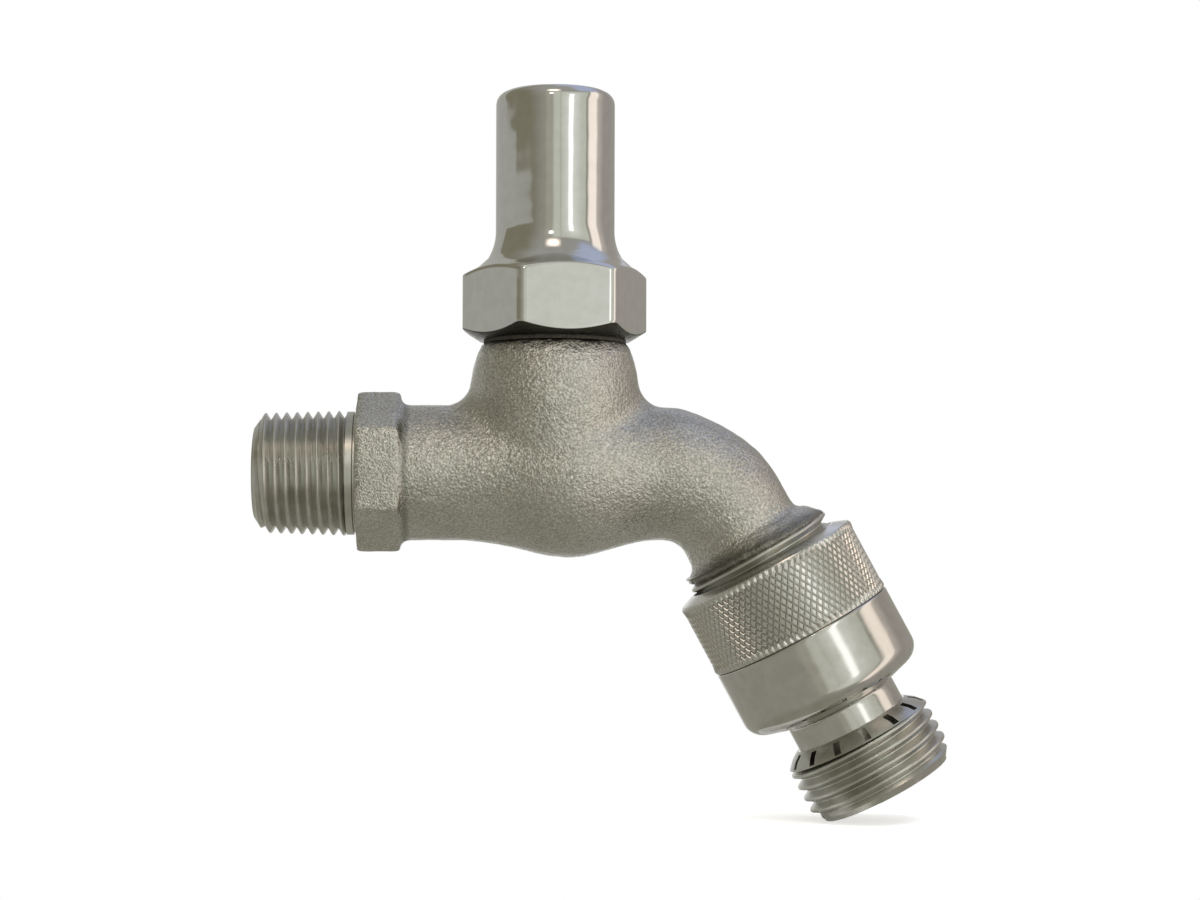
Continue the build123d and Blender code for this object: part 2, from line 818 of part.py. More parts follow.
def make_snap_ring():
    """Open wire ring in the groove between coupling ring and breaker body."""
    start = radians(snap_ring_gap)
    path = CenterArc((0, 0, 0), spigot_radius, snap_ring_gap, 360 - 2 * snap_ring_gap)
    section = Plane(
        origin=(spigot_radius * cos(start), spigot_radius * sin(start), 0),
        x_dir=(cos(start), sin(start), 0),
        z_dir=(-sin(start), cos(start), 0),
    ) * Circle(snap_wire_radius)
    wire = Pos(0, 0, snap_place) * sweep(section, path)
    return outlet_plane * wire


def make_hose_washer():
    """Flat rubber washer between the spout end and the breaker."""
    return outlet_plane * ring(
        hose_washer_bore, hose_crest_radius, washer_start, washer_start + hose_washer_thickness
    )


def make_breaker_body():
    """Smooth body, neck, vented cone and outlet thread in one piece, with its chambers."""
    foot_start = body_end - body_foot_height
    shell = turned(
        (0, body_start),
        (breaker_radius, body_start),
        (breaker_radius, foot_start - body_corner_drop),
        (body_foot_radius, foot_start),
        (neck_radius, body_end),
        (0, body_end),
        rounds=[0, body_edge_round, body_corner_round, 0, 0, 0],
    )
    spigot = ring(0, spigot_radius, spigot_start, body_start)
    neck = ring(0, neck_radius, body_end - cut_margin, neck_end + cut_margin)
    cone = turned(
        (0, neck_end),
        (cone_start_radius, neck_end),
        (cone_mid_radius, neck_end + cone_length / 2),
        (cone_end_radius, cone_end),
        (0, cone_end),
    )
    thread = make_hose_thread(
        cone_end,
        outlet_thread_length,
        outlet_thread_lead,
        outlet_lead_radius,
        outlet_thread_start_angle,
    )
    body = spigot + shell + neck + cone + thread
    socket_start = tube_end - tube_socket_length
    lip_bore_radius = tube_socket_radius - tube_socket_lip
    body -= ring(0, body_chamber_radius, spigot_start - cut_margin, flange_end)
    body -= ring(0, vent_space_radius, flange_end - cut_margin, socket_start)
    body -= ring(0, tube_socket_radius, socket_start - cut_margin, tube_end)
    body -= ring(0, lip_bore_radius, tube_end - cut_margin, outlet_end)
    body -= ring(0, outlet_bore_radius, outlet_end - outlet_bore_depth, outlet_end + cut_margin)
    body -= wire_ring(spigot_radius, snap_wire_radius + face_clearance, snap_place)
    slot_centre = neck_end + vent_offset + vent_height / 2
    slot = Pos(0, 0, slot_centre) * Box(
        breaker_radius, vent_width, vent_height, align=(Align.MIN, Align.CENTER, Align.CENTER)
    )
    slot -= ring(
        0, vent_space_radius - cut_margin, slot_centre - vent_height, slot_centre + vent_height
    )
    vent_step = 360 / vent_count
    for index in range(vent_count):
        body -= Rot(0, 0, vent_step * index + vent_step / 2) * slot
    return outlet_plane * body


def make_check_seat():
    """Seat insert of the check valve with its seal groove."""
    insert = ring(check_seat_bore, insert_radius, seat_insert_start, seat_insert_end)
    insert -= ring(
        insert_radius - seal_wire_radius * 2,
        insert_radius + cut_margin,
        seat_seal_place - seal_wire_radius,
        seat_seal_place + seal_wire_radius,
    )
    return outlet_plane * insert


def make_seat_seal():
    """O-ring in the seat insert's groove."""
    return outlet_plane * wire_ring(
        insert_radius - seal_wire_radius, seal_wire_radius - seal_clearance, seat_seal_place
    )


def make_spacer_ring():
    """Ring that holds seat insert and diaphragm apart."""
    return outlet_plane * ring(
        insert_radius - spacer_wall, insert_radius, seat_insert_end, diaphragm_start
    )


def make_diaphragm():
    """Flat rubber diaphragm over the vent holes."""
    return outlet_plane * ring(diaphragm_bore, insert_radius, diaphragm_start, flange_start)


def make_vent_tube():
    """Flange with vent holes, flow tube and the spider that guides the poppet stem."""
    piece = ring(vent_tube_bore, insert_radius, flange_start, flange_end)
    piece += ring(vent_tube_bore, vent_tube_radius, flange_start, tube_end - face_clearance)
    hub = ring(0, spider_hub_radius, flange_start, flange_end)
    arm = Pos(0, 0, flange_start) * Box(
        vent_tube_bore + spider_arm_root,
        spider_arm_width,
        vent_flange_thickness,
        align=(Align.MIN, Align.CENTER, Align.MIN),
    )
    piece += hub
    for index in range(spider_arm_count):
        piece += Rot(0, 0, 360 / spider_arm_count * index) * arm
    guide_radius = poppet_stem_radius + running_clearance
    piece -= ring(0, guide_radius, flange_start - cut_margin, flange_end + cut_margin)
    hole = Pos(vent_hole_circle, 0, 0) * ring(
        0, vent_hole_radius, flange_start - cut_margin, flange_end + cut_margin
    )
    for index in range(vent_hole_count):
        piece -= Rot(0, 0, 360 / vent_hole_count * index) * hole
    piece -= wire_ring(tube_seal_ring_radius, tube_seal_wire + face_clearance, tube_seal_place)
    return outlet_plane * piece


def make_tube_seal():
    """O-ring between the vent tube's foot and the breaker body."""
    return outlet_plane * wire_ring(tube_seal_ring_radius, tube_seal_wire, tube_seal_place)


def make_check_poppet():
    """Poppet: a cup that holds its seal, with a guide stem."""
    seal_radius = poppet_radius - poppet_cup_wall
    seal_end = poppet_top + poppet_seal_thickness
    poppet = ring(0, poppet_radius, poppet_top + poppet_rim_drop, poppet_disc_end)
    poppet -= ring(poppet_seal_bore - face_clearance, seal_radius, poppet_top, seal_end)
    poppet += ring(0, poppet_stem_radius, seal_end, flange_end + poppet_stem_reach)
    return outlet_plane * poppet


def make_poppet_seal():
    """Flat rubber ring let into the poppet."""
    return outlet_plane * ring(
        poppet_seal_bore,
        poppet_radius - poppet_cup_wall - face_clearance,
        poppet_top,
        poppet_top + poppet_seal_thickness,
    )


def make_poppet_spring():
    """Helical spring between poppet and spider, one unbroken wire."""
    start = poppet_disc_end + spring_wire_radius + face_clearance
    end = flange_start - spring_wire_radius - face_clearance
    height = end - start
    pitch = height / spring_turns
    path = Edge.make_helix(pitch, height, spring_coil_radius, center=(0, 0, start))
    section = Plane(origin=path @ 0, z_dir=path % 0) * Circle(spring_wire_radius)
    gap = pitch - 2 * spring_wire_radius
    print("spring pitch", round(pitch, 3), "gap between turns", round(gap, 3))
    return outlet_plane * Solid(sweep(section, path, is_frenet=True).solids()[0].wrapped)


def main():
    os.makedirs("parts", exist_ok=True)
    washer, packing, gland, nut = make_packing_set()
    nodes = {
        "body_casting": make_body_casting(),
        "seat_ring": make_seat_ring(),
        "bonnet": make_bonnet(),
        "bonnet_gasket": make_bonnet_gasket(),
        "packing_washer": washer,
        "stem_packing": packing,
        "packing_gland": gland,
        "packing_nut": nut,
        "stem": make_stem(),
        "disc_holder": make_disc_holder(),
        "seat_washer": make_seat_washer(),
        "washer_screw": make_washer_screw(),
        "coupling_ring": make_coupling_ring(),
        "set_screw": make_set_screw(),
        "snap_ring": make_snap_ring(),
        "hose_washer": make_hose_washer(),
        "breaker_body": make_breaker_body(),
        "check_seat": make_check_seat(),
        "seat_seal": make_seat_seal(),
        "spacer_ring": make_spacer_ring(),
        "diaphragm": make_diaphragm(),
        "vent_tube": make_vent_tube(),
        "tube_seal": make_tube_seal(),
        "check_poppet": make_check_poppet(),
        "poppet_seal": make_poppet_seal(),
        "poppet_spring": make_poppet_spring(),
    }
    for name, shape in nodes.items():
        export_step(shape, f"parts/{name}.step")
        solids = len(shape.solids())
        print(name, "solids", solids, "valid", shape.is_valid, "volume", round(shape.volume, 1))


main()
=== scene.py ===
from math import asin, atan2, ceil, cos, degrees, hypot, pi, radians, sin, sqrt, tan

import bmesh
import bpy
from mathutils import Matrix, Vector, noise


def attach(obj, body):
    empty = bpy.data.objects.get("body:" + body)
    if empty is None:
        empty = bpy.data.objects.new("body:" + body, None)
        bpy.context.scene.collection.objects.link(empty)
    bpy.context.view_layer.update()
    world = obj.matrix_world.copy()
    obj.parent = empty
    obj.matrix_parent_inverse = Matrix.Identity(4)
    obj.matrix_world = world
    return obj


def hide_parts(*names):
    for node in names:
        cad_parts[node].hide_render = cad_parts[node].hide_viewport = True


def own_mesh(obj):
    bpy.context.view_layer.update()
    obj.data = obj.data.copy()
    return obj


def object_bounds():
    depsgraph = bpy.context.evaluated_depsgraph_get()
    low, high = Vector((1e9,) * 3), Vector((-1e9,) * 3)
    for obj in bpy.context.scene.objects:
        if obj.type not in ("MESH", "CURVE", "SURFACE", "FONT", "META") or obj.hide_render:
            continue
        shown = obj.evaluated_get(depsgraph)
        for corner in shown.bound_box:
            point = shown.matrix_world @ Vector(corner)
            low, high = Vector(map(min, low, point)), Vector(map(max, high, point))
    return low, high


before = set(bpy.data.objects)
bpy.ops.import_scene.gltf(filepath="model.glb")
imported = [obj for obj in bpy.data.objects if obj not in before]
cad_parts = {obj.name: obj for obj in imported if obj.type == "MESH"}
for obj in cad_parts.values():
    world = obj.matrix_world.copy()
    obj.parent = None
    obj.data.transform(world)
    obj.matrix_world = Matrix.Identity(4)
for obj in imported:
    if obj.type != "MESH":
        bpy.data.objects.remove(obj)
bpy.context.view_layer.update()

# Sizes are in millimetres in the part's own frame: the inlet axis runs along +X and +Z is up.
MM = 0.001
# points nearer than this are one point
SAME = 0.001
# extra loops this far from a rounding keep the shading of a straight wall true
HOLD = 0.5

# The three axes that the pieces are turned about
RUN_AXIS = Matrix(((0, 0, 1, 0), (0, 1, 0, 0), (-1, 0, 0, 0), (0, 0, 0, 1)))
BONNET_X = 34.26
BONNET_AXIS = Matrix.Translation((BONNET_X, 0, 0))
SPOUT_TURN = radians(61.5)
SPOUT_ORIGIN = Vector((67.16107, 0, -8.56546))
SPOUT_AXIS = Matrix.Translation(SPOUT_ORIGIN) @ Matrix((
    (sin(SPOUT_TURN), 0, cos(SPOUT_TURN), 0),
    (0, -1, 0, 0),
    (cos(SPOUT_TURN), 0, -sin(SPOUT_TURN), 0),
    (0, 0, 0, 1),
))
OUTLET_WAY = SPOUT_AXIS.to_3x3() @ Vector((0, 0, 1))

# Threads: crest radius, depth, pitch, width of the flat crest, growth of the radius by length
PIPE_THREAD = (10.35, 1.2, 1.814, 0.3, tan(radians(1.79)))
HOSE_THREAD = (13.35, 1.3, 2.209, 0.45, 0.0)
HOSE_CREST = HOSE_THREAD[0]
CREST_WEAR = 0.05
THREAD_STEPS = 112

# Inlet thread, its collar and the corner behind the cast hex
INLET_END = -17.65
INLET_THREAD = 16.0
INLET_COLLAR = 10.7
COLLAR_END = 17.3
COLLAR_ROUND = 0.4
INLET_BORE = 6.35
# x of the corner behind the cast hex, where the casting's colour carries painted shade
CORNER_X = 8.5

# The casting's skin: size of its even faces, and size and height of its mould lumps
SKIN_FACE = 0.46
BROAD_LUMP = (4.0, 0.06)
SMALL_LUMP = (1.5, 0.05)
TORN_HEIGHT = 0.16
TORN_LIP = 3.2
TORN_RIM = 19.8
TORN_RIM_REACH = 1.5

# Spout thread, coupling ring and breaker, counted along the outlet axis
SPOUT_THREAD_START = 3.9
SPOUT_THREAD = 12.3
SPOUT_BORE = 7.4
RING_TOP = 7.0
RING_END = 21.0
RING_RADIUS = 16.4
RING_BORE = 13.45
RING_SOCKET = 14.45
RING_SHOULDER = 16.2
SET_SCREW_PLACE = 12.0
SET_SCREW_HOLE = 2.1
SNAP_PLACE = 19.9
SNAP_GROOVE = 0.55
SPIGOT_START = 18.6
SPIGOT_RADIUS = 14.4
SPIGOT_BORE = 12.2
SPIGOT_BORE_END = 31.45
BREAKER_START = 21.08
BREAKER_RADIUS = 16.5
BREAKER_END = 35.25
TUBE_BORE = 8.7
TUBE_BORE_END = 39.95
NECK_RADIUS = 10.05
NECK_END = 39.35
CONE_START_RADIUS = 10.4
CONE_MIDDLE_RADIUS = 12.1
CONE_END_RADIUS = 13.2
CONE_END = 41.75
CONE_BORE = 7.2
OUTLET_END = 52.15
VENT_COUNT = 14
VENT_WIDTH = 1.25
VENT_LOW = 39.7
VENT_HIGH = 41.5
VENT_DEPTH_RADIUS = 7.8

# Bonnet heights and radii
HEX_FLATS = 28.6
HEX_TURN = 7.0
HEX_ROUND = 2.0
HEX_FOOT = 23.2
HEX_TOP = 34.7
HEX_FOOT_RADIUS = 13.2124
HEX_TOP_RADIUS = 14.1
HEX_TOP_EDGE = 35.5
FOOT_SLOPE = 0.62
TOP_SLOPE = 0.5
CROWN_RADIUS = 11.9
CROWN_HEIGHT = 37.3
SHIELD_RADIUS = 10.4
COVE_TOP = 42.3
SHIELD_TOP = 66.6
SHIELD_ROUND = 2.1
SHIELD_BORE = 8.0
NUT_BORE = 8.2
NUT_BORE_TOP = 53.5
PACKING_BORE = 7.55
PACKING_BORE_TOP = 42.9
STEM_BORE = 5.55
STEM_BORE_TOP = 34.8
SKIRT_RADIUS = 10.9
SKIRT_FOOT = 15.0
SKIRT_BORE = 7.8
SKIRT_BORE_TOP = 22.3


# Making the shapes

def turned(outline, rounds=None, steps=128):
    """Closed ring turned about Z from (radius, height) corners; rounds holds radii by index."""
    bm = bmesh.new()
    corners = [bm.verts.new((radius, 0, height)) for radius, height in outline]
    for here, following in zip(corners, corners[1:] + corners[:1]):
        bm.edges.new((here, following))
    for index, radius in (rounds or {}).items():
        here = Vector(outline[index])
        before = Vector(outline[index - 1]) - here
        after = Vector(outline[(index + 1) % len(outline)]) - here
        reach = radius / tan(before.angle(after) / 2)
        bmesh.ops.bevel(
            bm, geom=[corners[index]], offset=reach, offset_type="OFFSET", segments=5,
            profile=0.5, affect="VERTICES", material=-1,
        )
    bmesh.ops.spin(
        bm, geom=bm.verts[:] + bm.edges[:], cent=(0, 0, 0), axis=(0, 0, 1), dvec=(0, 0, 0),
        angle=2 * pi, steps=steps, use_merge=True, use_duplicate=False,
    )
    return bm


def around(vert, radius, height):
    """Moves a vertex to a radius and height about Z and keeps its angle."""
    angle = atan2(vert.co.y, vert.co.x)
    vert.co = (radius * cos(angle), radius * sin(angle), height)


def extend(bm, rim, radius, height):
    """Extrudes a rim of edges to a circle about Z and gives the new rim."""
    grown = bmesh.ops.extrude_edge_only(bm, edges=rim)["geom"]
    fresh = {item for item in grown if isinstance(item, bmesh.types.BMVert)}
    for vert in fresh:
        around(vert, radius, height)
    return [
        item for item in grown
        if isinstance(item, bmesh.types.BMEdge) and fresh.issuperset(item.verts)
    ]


def limit_at(limits, height):
    """Largest radius at a height, from a list of (height, radius) along a lead chamfer."""
    if height <= limits[0][0]:
        return limits[0][1]
    for (low, low_radius), (high, high_radius) in zip(limits, limits[1:]):
        if height <= high:
            return low_radius + (high_radius - low_radius) * (height - low) / (high - low)
    return limits[-1][1]


def threaded_sleeve(size, length, limits, start_angle, after, bore):
    """Sleeve with one thread about Z: after goes on from its end face, bore back to its start."""
    crest, depth, pitch, flat, taper = size
    root = crest - depth
    half_crest = flat / 2
    half_foot = half_crest + depth * tan(pi / 6)
    section = [
        (root, -pitch / 2),
        (root, -half_foot - CREST_WEAR),
        (root + CREST_WEAR, -half_foot),
        (crest - CREST_WEAR, -half_crest),
        (crest, -half_crest / 3),
        (crest, half_crest / 3),
        (crest - CREST_WEAR, half_crest),
        (root + CREST_WEAR, half_foot),
        (root, half_foot + CREST_WEAR),
        (root, pitch / 2),
    ]
    turns = ceil(length / pitch) + 2
    bm = bmesh.new()
    profile = [bm.verts.new((radius, 0, height - pitch)) for radius, height in section]
    for here, following in zip(profile, profile[1:]):
        bm.edges.new((here, following))
    bmesh.ops.spin(
        bm, geom=bm.verts[:] + bm.edges[:], cent=(0, 0, 0), axis=(0, 0, 1),
        dvec=(0, 0, pitch / THREAD_STEPS), angle=2 * pi * turns, steps=THREAD_STEPS * turns,
        use_merge=False, use_duplicate=False,
    )
    bmesh.ops.remove_doubles(bm, verts=bm.verts[:], dist=SAME)
    for face in bm.faces:
        lowest = min(hypot(vert.co.x, vert.co.y) for vert in face.verts)
        face.material_index = int(lowest > crest - CREST_WEAR - SAME)
    for vert in bm.verts:
        radius = hypot(vert.co.x, vert.co.y) + taper * vert.co.z
        around(vert, min(radius, limit_at(limits, vert.co.z)), vert.co.z)
    for height, outwards in ((0, -1), (length, 1)):
        bmesh.ops.bisect_plane(
            bm, geom=bm.verts[:] + bm.edges[:] + bm.faces[:], dist=SAME / 10,
            plane_co=(0, 0, height), plane_no=(0, 0, outwards), clear_outer=True,
        )
    open_rim = [edge for edge in bm.edges if edge.is_boundary]
    start_rim = [edge for edge in open_rim if edge.verts[0].co.z < length / 2]
    end_rim = [edge for edge in open_rim if edge.verts[0].co.z > length / 2]
    for radius, height in after + bore[:-1]:
        end_rim = extend(bm, end_rim, radius, height)
        for edge in end_rim:
            edge.link_faces[0].material_index = int((radius, height) in after)
    start_rim = extend(bm, start_rim, *bore[-1])
    bmesh.ops.bridge_loops(bm, edges=start_rim + end_rim)
    bmesh.ops.rotate(
        bm, verts=bm.verts[:], cent=(0, 0, 0), matrix=Matrix.Rotation(start_angle, 3, "Z")
    )
    return bm


def finish_mesh(bm, name, place, crisp=35.0, merge=True):
    """Brings a bmesh in mm to its place in metres as an object with its sharp edges marked."""
    if merge:
        bmesh.ops.remove_doubles(bm, verts=bm.verts[:], dist=SAME)
    bmesh.ops.recalc_face_normals(bm, faces=bm.faces[:])
    bmesh.ops.transform(bm, matrix=Matrix.Scale(MM, 4) @ place, verts=bm.verts[:])
    for face in bm.faces:
        face.smooth = True
    for edge in bm.edges:
        edge.smooth = len(edge.link_faces) == 2 and edge.calc_face_angle(0) < radians(crisp)
    mesh = bpy.data.meshes.new(name)
    bm.to_mesh(mesh)
    bm.free()
    piece = bpy.data.objects.new(name, mesh)
    bpy.context.scene.collection.objects.link(piece)
    return piece


def dress(piece, finishes, slot, *nodes):
    """Gives a piece its finishes, its body and the nodes that it stands for; slot is not used."""
    piece.data.materials.clear()
    for finish in finishes:
        piece.data.materials.append(finish)
    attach(piece, "root")
    if nodes:
        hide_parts(*nodes)
    return piece


# Materials

def linear(code):
    """Linear colour from an sRGB hex value."""
    parts = [int(code[i:i + 2], 16) / 255 for i in (1, 3, 5)]
    return [c / 12.92 if c <= 0.04045 else ((c + 0.055) / 1.055) ** 2.4 for c in parts] + [1.0]


def add(tree, kind, settings):
    """Adds a node; a setting is a property, or the value or the link of an input socket."""
    node = tree.nodes.new(kind)
    for key, value in settings.items():
        if isinstance(value, bpy.types.NodeSocket):
            tree.links.new(node.inputs[key], value)
        elif isinstance(key, int) or key in node.inputs:
            node.inputs[key].default_value = value
        else:
            setattr(node, key, value)
    return node


def blank_material(name):
    """Empty node material and its tree."""
    material = bpy.data.materials.new(name)
    material.use_nodes = True
    material.node_tree.nodes.clear()
    return material, material.node_tree


def sand_cast_brass_satin_plated():
    """Brass sand casting with a satin nickel plate: soft broken gloss over sand grain, with
    painted shade under the bonnet, behind the hex and on the lip.
    """
    material, tree = blank_material("sand_cast_brass_satin_plated")
    place = add(tree, "ShaderNodeTexCoord", {}).outputs["Object"]
    # sand grain of 0.4 to 0.6 mm on soft lumps of 2.6 mm, and stains of 9 mm
    grain = add(tree, "ShaderNodeTexNoise", {
        "Scale": 1 / (0.36 * MM), "Detail": 2.0, "Roughness": 0.55, "Vector": place,
    }).outputs["Fac"]
    pebbles = add(tree, "ShaderNodeTexVoronoi", {
        "feature": "SMOOTH_F1", "Scale": 1 / (0.6 * MM), "Vector": place,
    }).outputs["Distance"]
    lumps = add(tree, "ShaderNodeTexNoise", {
        "Scale": 1 / (2.6 * MM), "Detail": 2.0, "Vector": place,
    }).outputs["Fac"]
    stains = add(tree, "ShaderNodeTexNoise", {
        "Scale": 1 / (9.0 * MM), "Detail": 3.0, "Vector": place,
    }).outputs["Fac"]
    # real depths in mm, each relief on top of the one before
    reliefs = [
        add(tree, "ShaderNodeBump", {"Strength": 1.0, "Distance": depth * MM, "Height": height})
        for height, depth in ((lumps, 0.16), (pebbles, -0.14), (grain, 0.22))
    ]
    for under, over in zip(reliefs, reliefs[1:]):
        tree.links.new(over.inputs["Normal"], under.outputs["Normal"])
    # the grain's tops are painted paler and its pits darker, as painted highlight and shade on the
    # grain, both a little paler in patches
    paler = add(tree, "ShaderNodeMapRange", {
        "From Min": 0.38, "From Max": 0.62, "Value": stains,
    }).outputs["Result"]
    pits, tops = [
        add(tree, "ShaderNodeMix", {
            "data_type": "RGBA", 0: paler, 6: linear(stained), 7: linear(clean),
        }).outputs[2]
        for stained, clean in (("#A9A8A0", "#B3B2AA"), ("#CFCEC7", "#D9D8D2"))
    ]
    raised = add(tree, "ShaderNodeMapRange", {
        "From Min": 0.34, "From Max": 0.66, "Value": grain,
    }).outputs["Result"]
    colour = add(tree, "ShaderNodeMix", {
        "data_type": "RGBA", 0: raised, 6: pits, 7: tops,
    }).outputs[2]
    # painted shade: darker in two steps under the bonnet, in the corner behind the hex and on the
    # torn lip
    across = add(tree, "ShaderNodeSeparateXYZ", {"Vector": place}).outputs
    beside = add(tree, "ShaderNodeMath", {
        "operation": "SUBTRACT", 0: across["X"], 1: CORNER_X * MM,
    }).outputs[0]
    corner = add(tree, "ShaderNodeMath", {"operation": "ABSOLUTE", 0: beside}).outputs[0]
    down_spout = add(tree, "ShaderNodeVectorMath", {
        "operation": "DOT_PRODUCT", 0: place, 1: OUTLET_WAY,
    }).outputs["Value"]
    lip = SPOUT_ORIGIN.dot(OUTLET_WAY) + 2.6
    for along, start, end, first, last, shade in (
        (across["Z"], 20.6, 22.0, 0.0, 0.55, "#66655D"),
        (across["Z"], 21.9, 22.9, 0.0, 0.85, "#33322C"),
        (corner, 0.2, 0.9, 0.55, 0.0, "#66655D"),
        (down_spout, lip, lip + 1.2, 0.0, 0.7, "#605F57"),
    ):
        share = add(tree, "ShaderNodeMapRange", {
            "From Min": start * MM, "From Max": end * MM, "To Min": first, "To Max": last,
            "Value": along,
        }).outputs["Result"]
        colour = add(tree, "ShaderNodeMix", {
            "data_type": "RGBA", 0: share, 6: colour, 7: linear(shade),
        }).outputs[2]
    rough = add(tree, "ShaderNodeMapRange", {
        "From Min": 0.35, "From Max": 0.65, "To Min": 0.23, "To Max": 0.13, "Value": grain,
    }).outputs["Result"]
    shader = add(tree, "ShaderNodeBsdfPrincipled", {
        "Metallic": 1.0, "Base Color": colour, "Roughness": rough,
        "Normal": reliefs[-1].outputs["Normal"],
    })
    add(tree, "ShaderNodeOutputMaterial", {"Surface": shader.outputs["BSDF"]})
    return material


def even_finish(name, relief, marks, shades, gloss, settings):
    """Finish with a fine relief, and marks that shift it between two shades and two glosses.

    relief is size and depth in mm, detail and strength; marks is size in mm and detail.
    """
    material, tree = blank_material(name)
    place = add(tree, "ShaderNodeTexCoord", {}).outputs["Object"]
    relief_size, relief_depth, relief_detail, strength = relief
    marks_size, marks_detail = marks
    height = add(tree, "ShaderNodeTexNoise", {
        "Scale": 1 / (relief_size * MM), "Detail": relief_detail, "Vector": place,
    }).outputs["Fac"]
    normal = add(tree, "ShaderNodeBump", {
        "Strength": strength, "Distance": relief_depth * MM, "Height": height,
    }).outputs["Normal"]
    marked = add(tree, "ShaderNodeTexNoise", {
        "Scale": 1 / (marks_size * MM), "Detail": marks_detail, "Vector": place,
    }).outputs["Fac"]
    share = add(tree, "ShaderNodeMapRange", {
        "From Min": 0.35, "From Max": 0.65, "Value": marked,
    }).outputs["Result"]
    colour = add(tree, "ShaderNodeMix", {
        "data_type": "RGBA", 0: share, 6: linear(shades[0]), 7: linear(shades[1]),
    }).outputs[2]
    rough = add(tree, "ShaderNodeMapRange", {
        "From Min": 0.3, "From Max": 0.7, "To Min": gloss[0], "To Max": gloss[1],
        "Value": marked,
    }).outputs["Result"]
    shader = add(tree, "ShaderNodeBsdfPrincipled", {
        **settings, "Base Color": colour, "Roughness": rough, "Normal": normal,
    })
    add(tree, "ShaderNodeOutputMaterial", {"Surface": shader.outputs["BSDF"]})
    return material


METAL = {"Metallic": 1.0}

CAST = sand_cast_brass_satin_plated()
# threads cut and plated without polishing: dull grey flanks with fine tool marks
MACHINED = even_finish(
    "machined_brass_satin_plated", relief=(0.4, 0.02, 2.0, 0.8), marks=(3.0, 2.0),
    shades=("#BAB9B2", "#C8C8C2"), gloss=(0.26, 0.34), settings=METAL,
)
# crests and collar rubbed bright: the same plate, smoother and paler
WORN = even_finish(
    "worn_crests_plated", relief=(0.6, 0.01, 2.0, 0.5), marks=(0.6, 2.0),
    shades=("#D6D5D0", "#E4E3DF"), gloss=(0.16, 0.24), settings=METAL,
)
# buffed brass under chromium: mirror gloss on the bonnet, with the slight waves of buffing
POLISHED = even_finish(
    "mirror_buffed_brass_chrome_plated", relief=(7.0, 0.14, 1.0, 0.5), marks=(2.0, 3.0),
    shades=("#CDCDCA", "#D3D3D1"), gloss=(0.045, 0.075), settings=METAL,
)
# the same plate with a softer gloss, which blurs the room on the breaker
SATIN = even_finish(
    "satin_buffed_brass_chrome_plated", relief=(7.0, 0.14, 1.0, 0.5), marks=(2.0, 3.0),
    shades=("#C3C2BD", "#CBCAC6"), gloss=(0.09, 0.15), settings=METAL,
)
# knurled brass under chromium: bright points, with polish left dull in the grooves
KNURLED = even_finish(
    "knurled_brass_chrome_plated", relief=(0.35, 0.02, 2.0, 0.6), marks=(0.35, 2.0),
    shades=("#C4C3BE", "#D6D5D1"), gloss=(0.16, 0.28), settings=METAL,
)
# bare brass from the lathe: yellow metal with fine tool marks and darker handling marks
BRASS = even_finish(
    "turned_brass", relief=(0.4, 0.02, 2.0, 0.4), marks=(4.0, 3.0),
    shades=("#B08D4A", "#CDAA62"), gloss=(0.24, 0.36), settings=METAL,
)
# drawn stainless wire and bar: grey metal with a fine, faint unevenness
STEEL = even_finish(
    "drawn_stainless_steel", relief=(0.3, 0.01, 2.0, 0.4), marks=(0.3, 2.0),
    shades=("#A9ABAC", "#C3C5C5"), gloss=(0.22, 0.34), settings=METAL,
)
# nitrile rubber, moulded: matt black with a soft sheen
RUBBER = even_finish(
    "moulded_nitrile_rubber", relief=(0.5, 0.01, 3.0, 0.6), marks=(0.5, 3.0),
    shades=("#161616", "#242424"), gloss=(0.5, 0.65), settings={"IOR": 1.52},
)
# graphite packing, pressed: dark grey with a dull metallic gloss
GRAPHITE = even_finish(
    "pressed_graphite_packing", relief=(0.6, 0.04, 3.0, 0.6), marks=(0.6, 3.0),
    shades=("#2B2C2E", "#48494B"), gloss=(0.4, 0.6), settings={"IOR": 1.9},
)
# fibre sheet, pressed: grey-brown and matt, with a coarse grain at its edge, and darker than the
# sheet itself as painted shade in the gap under the hex
FIBRE_PAINTED_DARK = even_finish(
    "pressed_fibre_sheet_painted_shade", relief=(0.45, 0.2, 3.0, 0.6), marks=(0.45, 3.0),
    shades=("#3C3A34", "#5E5A52"), gloss=(0.7, 0.85), settings={"IOR": 1.5},
)
# acetal, moulded: off-white and slightly waxy
ACETAL = even_finish(
    "moulded_acetal", relief=(1.5, 0.01, 3.0, 0.6), marks=(1.5, 3.0),
    shades=("#D8D6CD", "#E3E1DA"), gloss=(0.32, 0.42), settings={"IOR": 1.48},
)


# The cast body

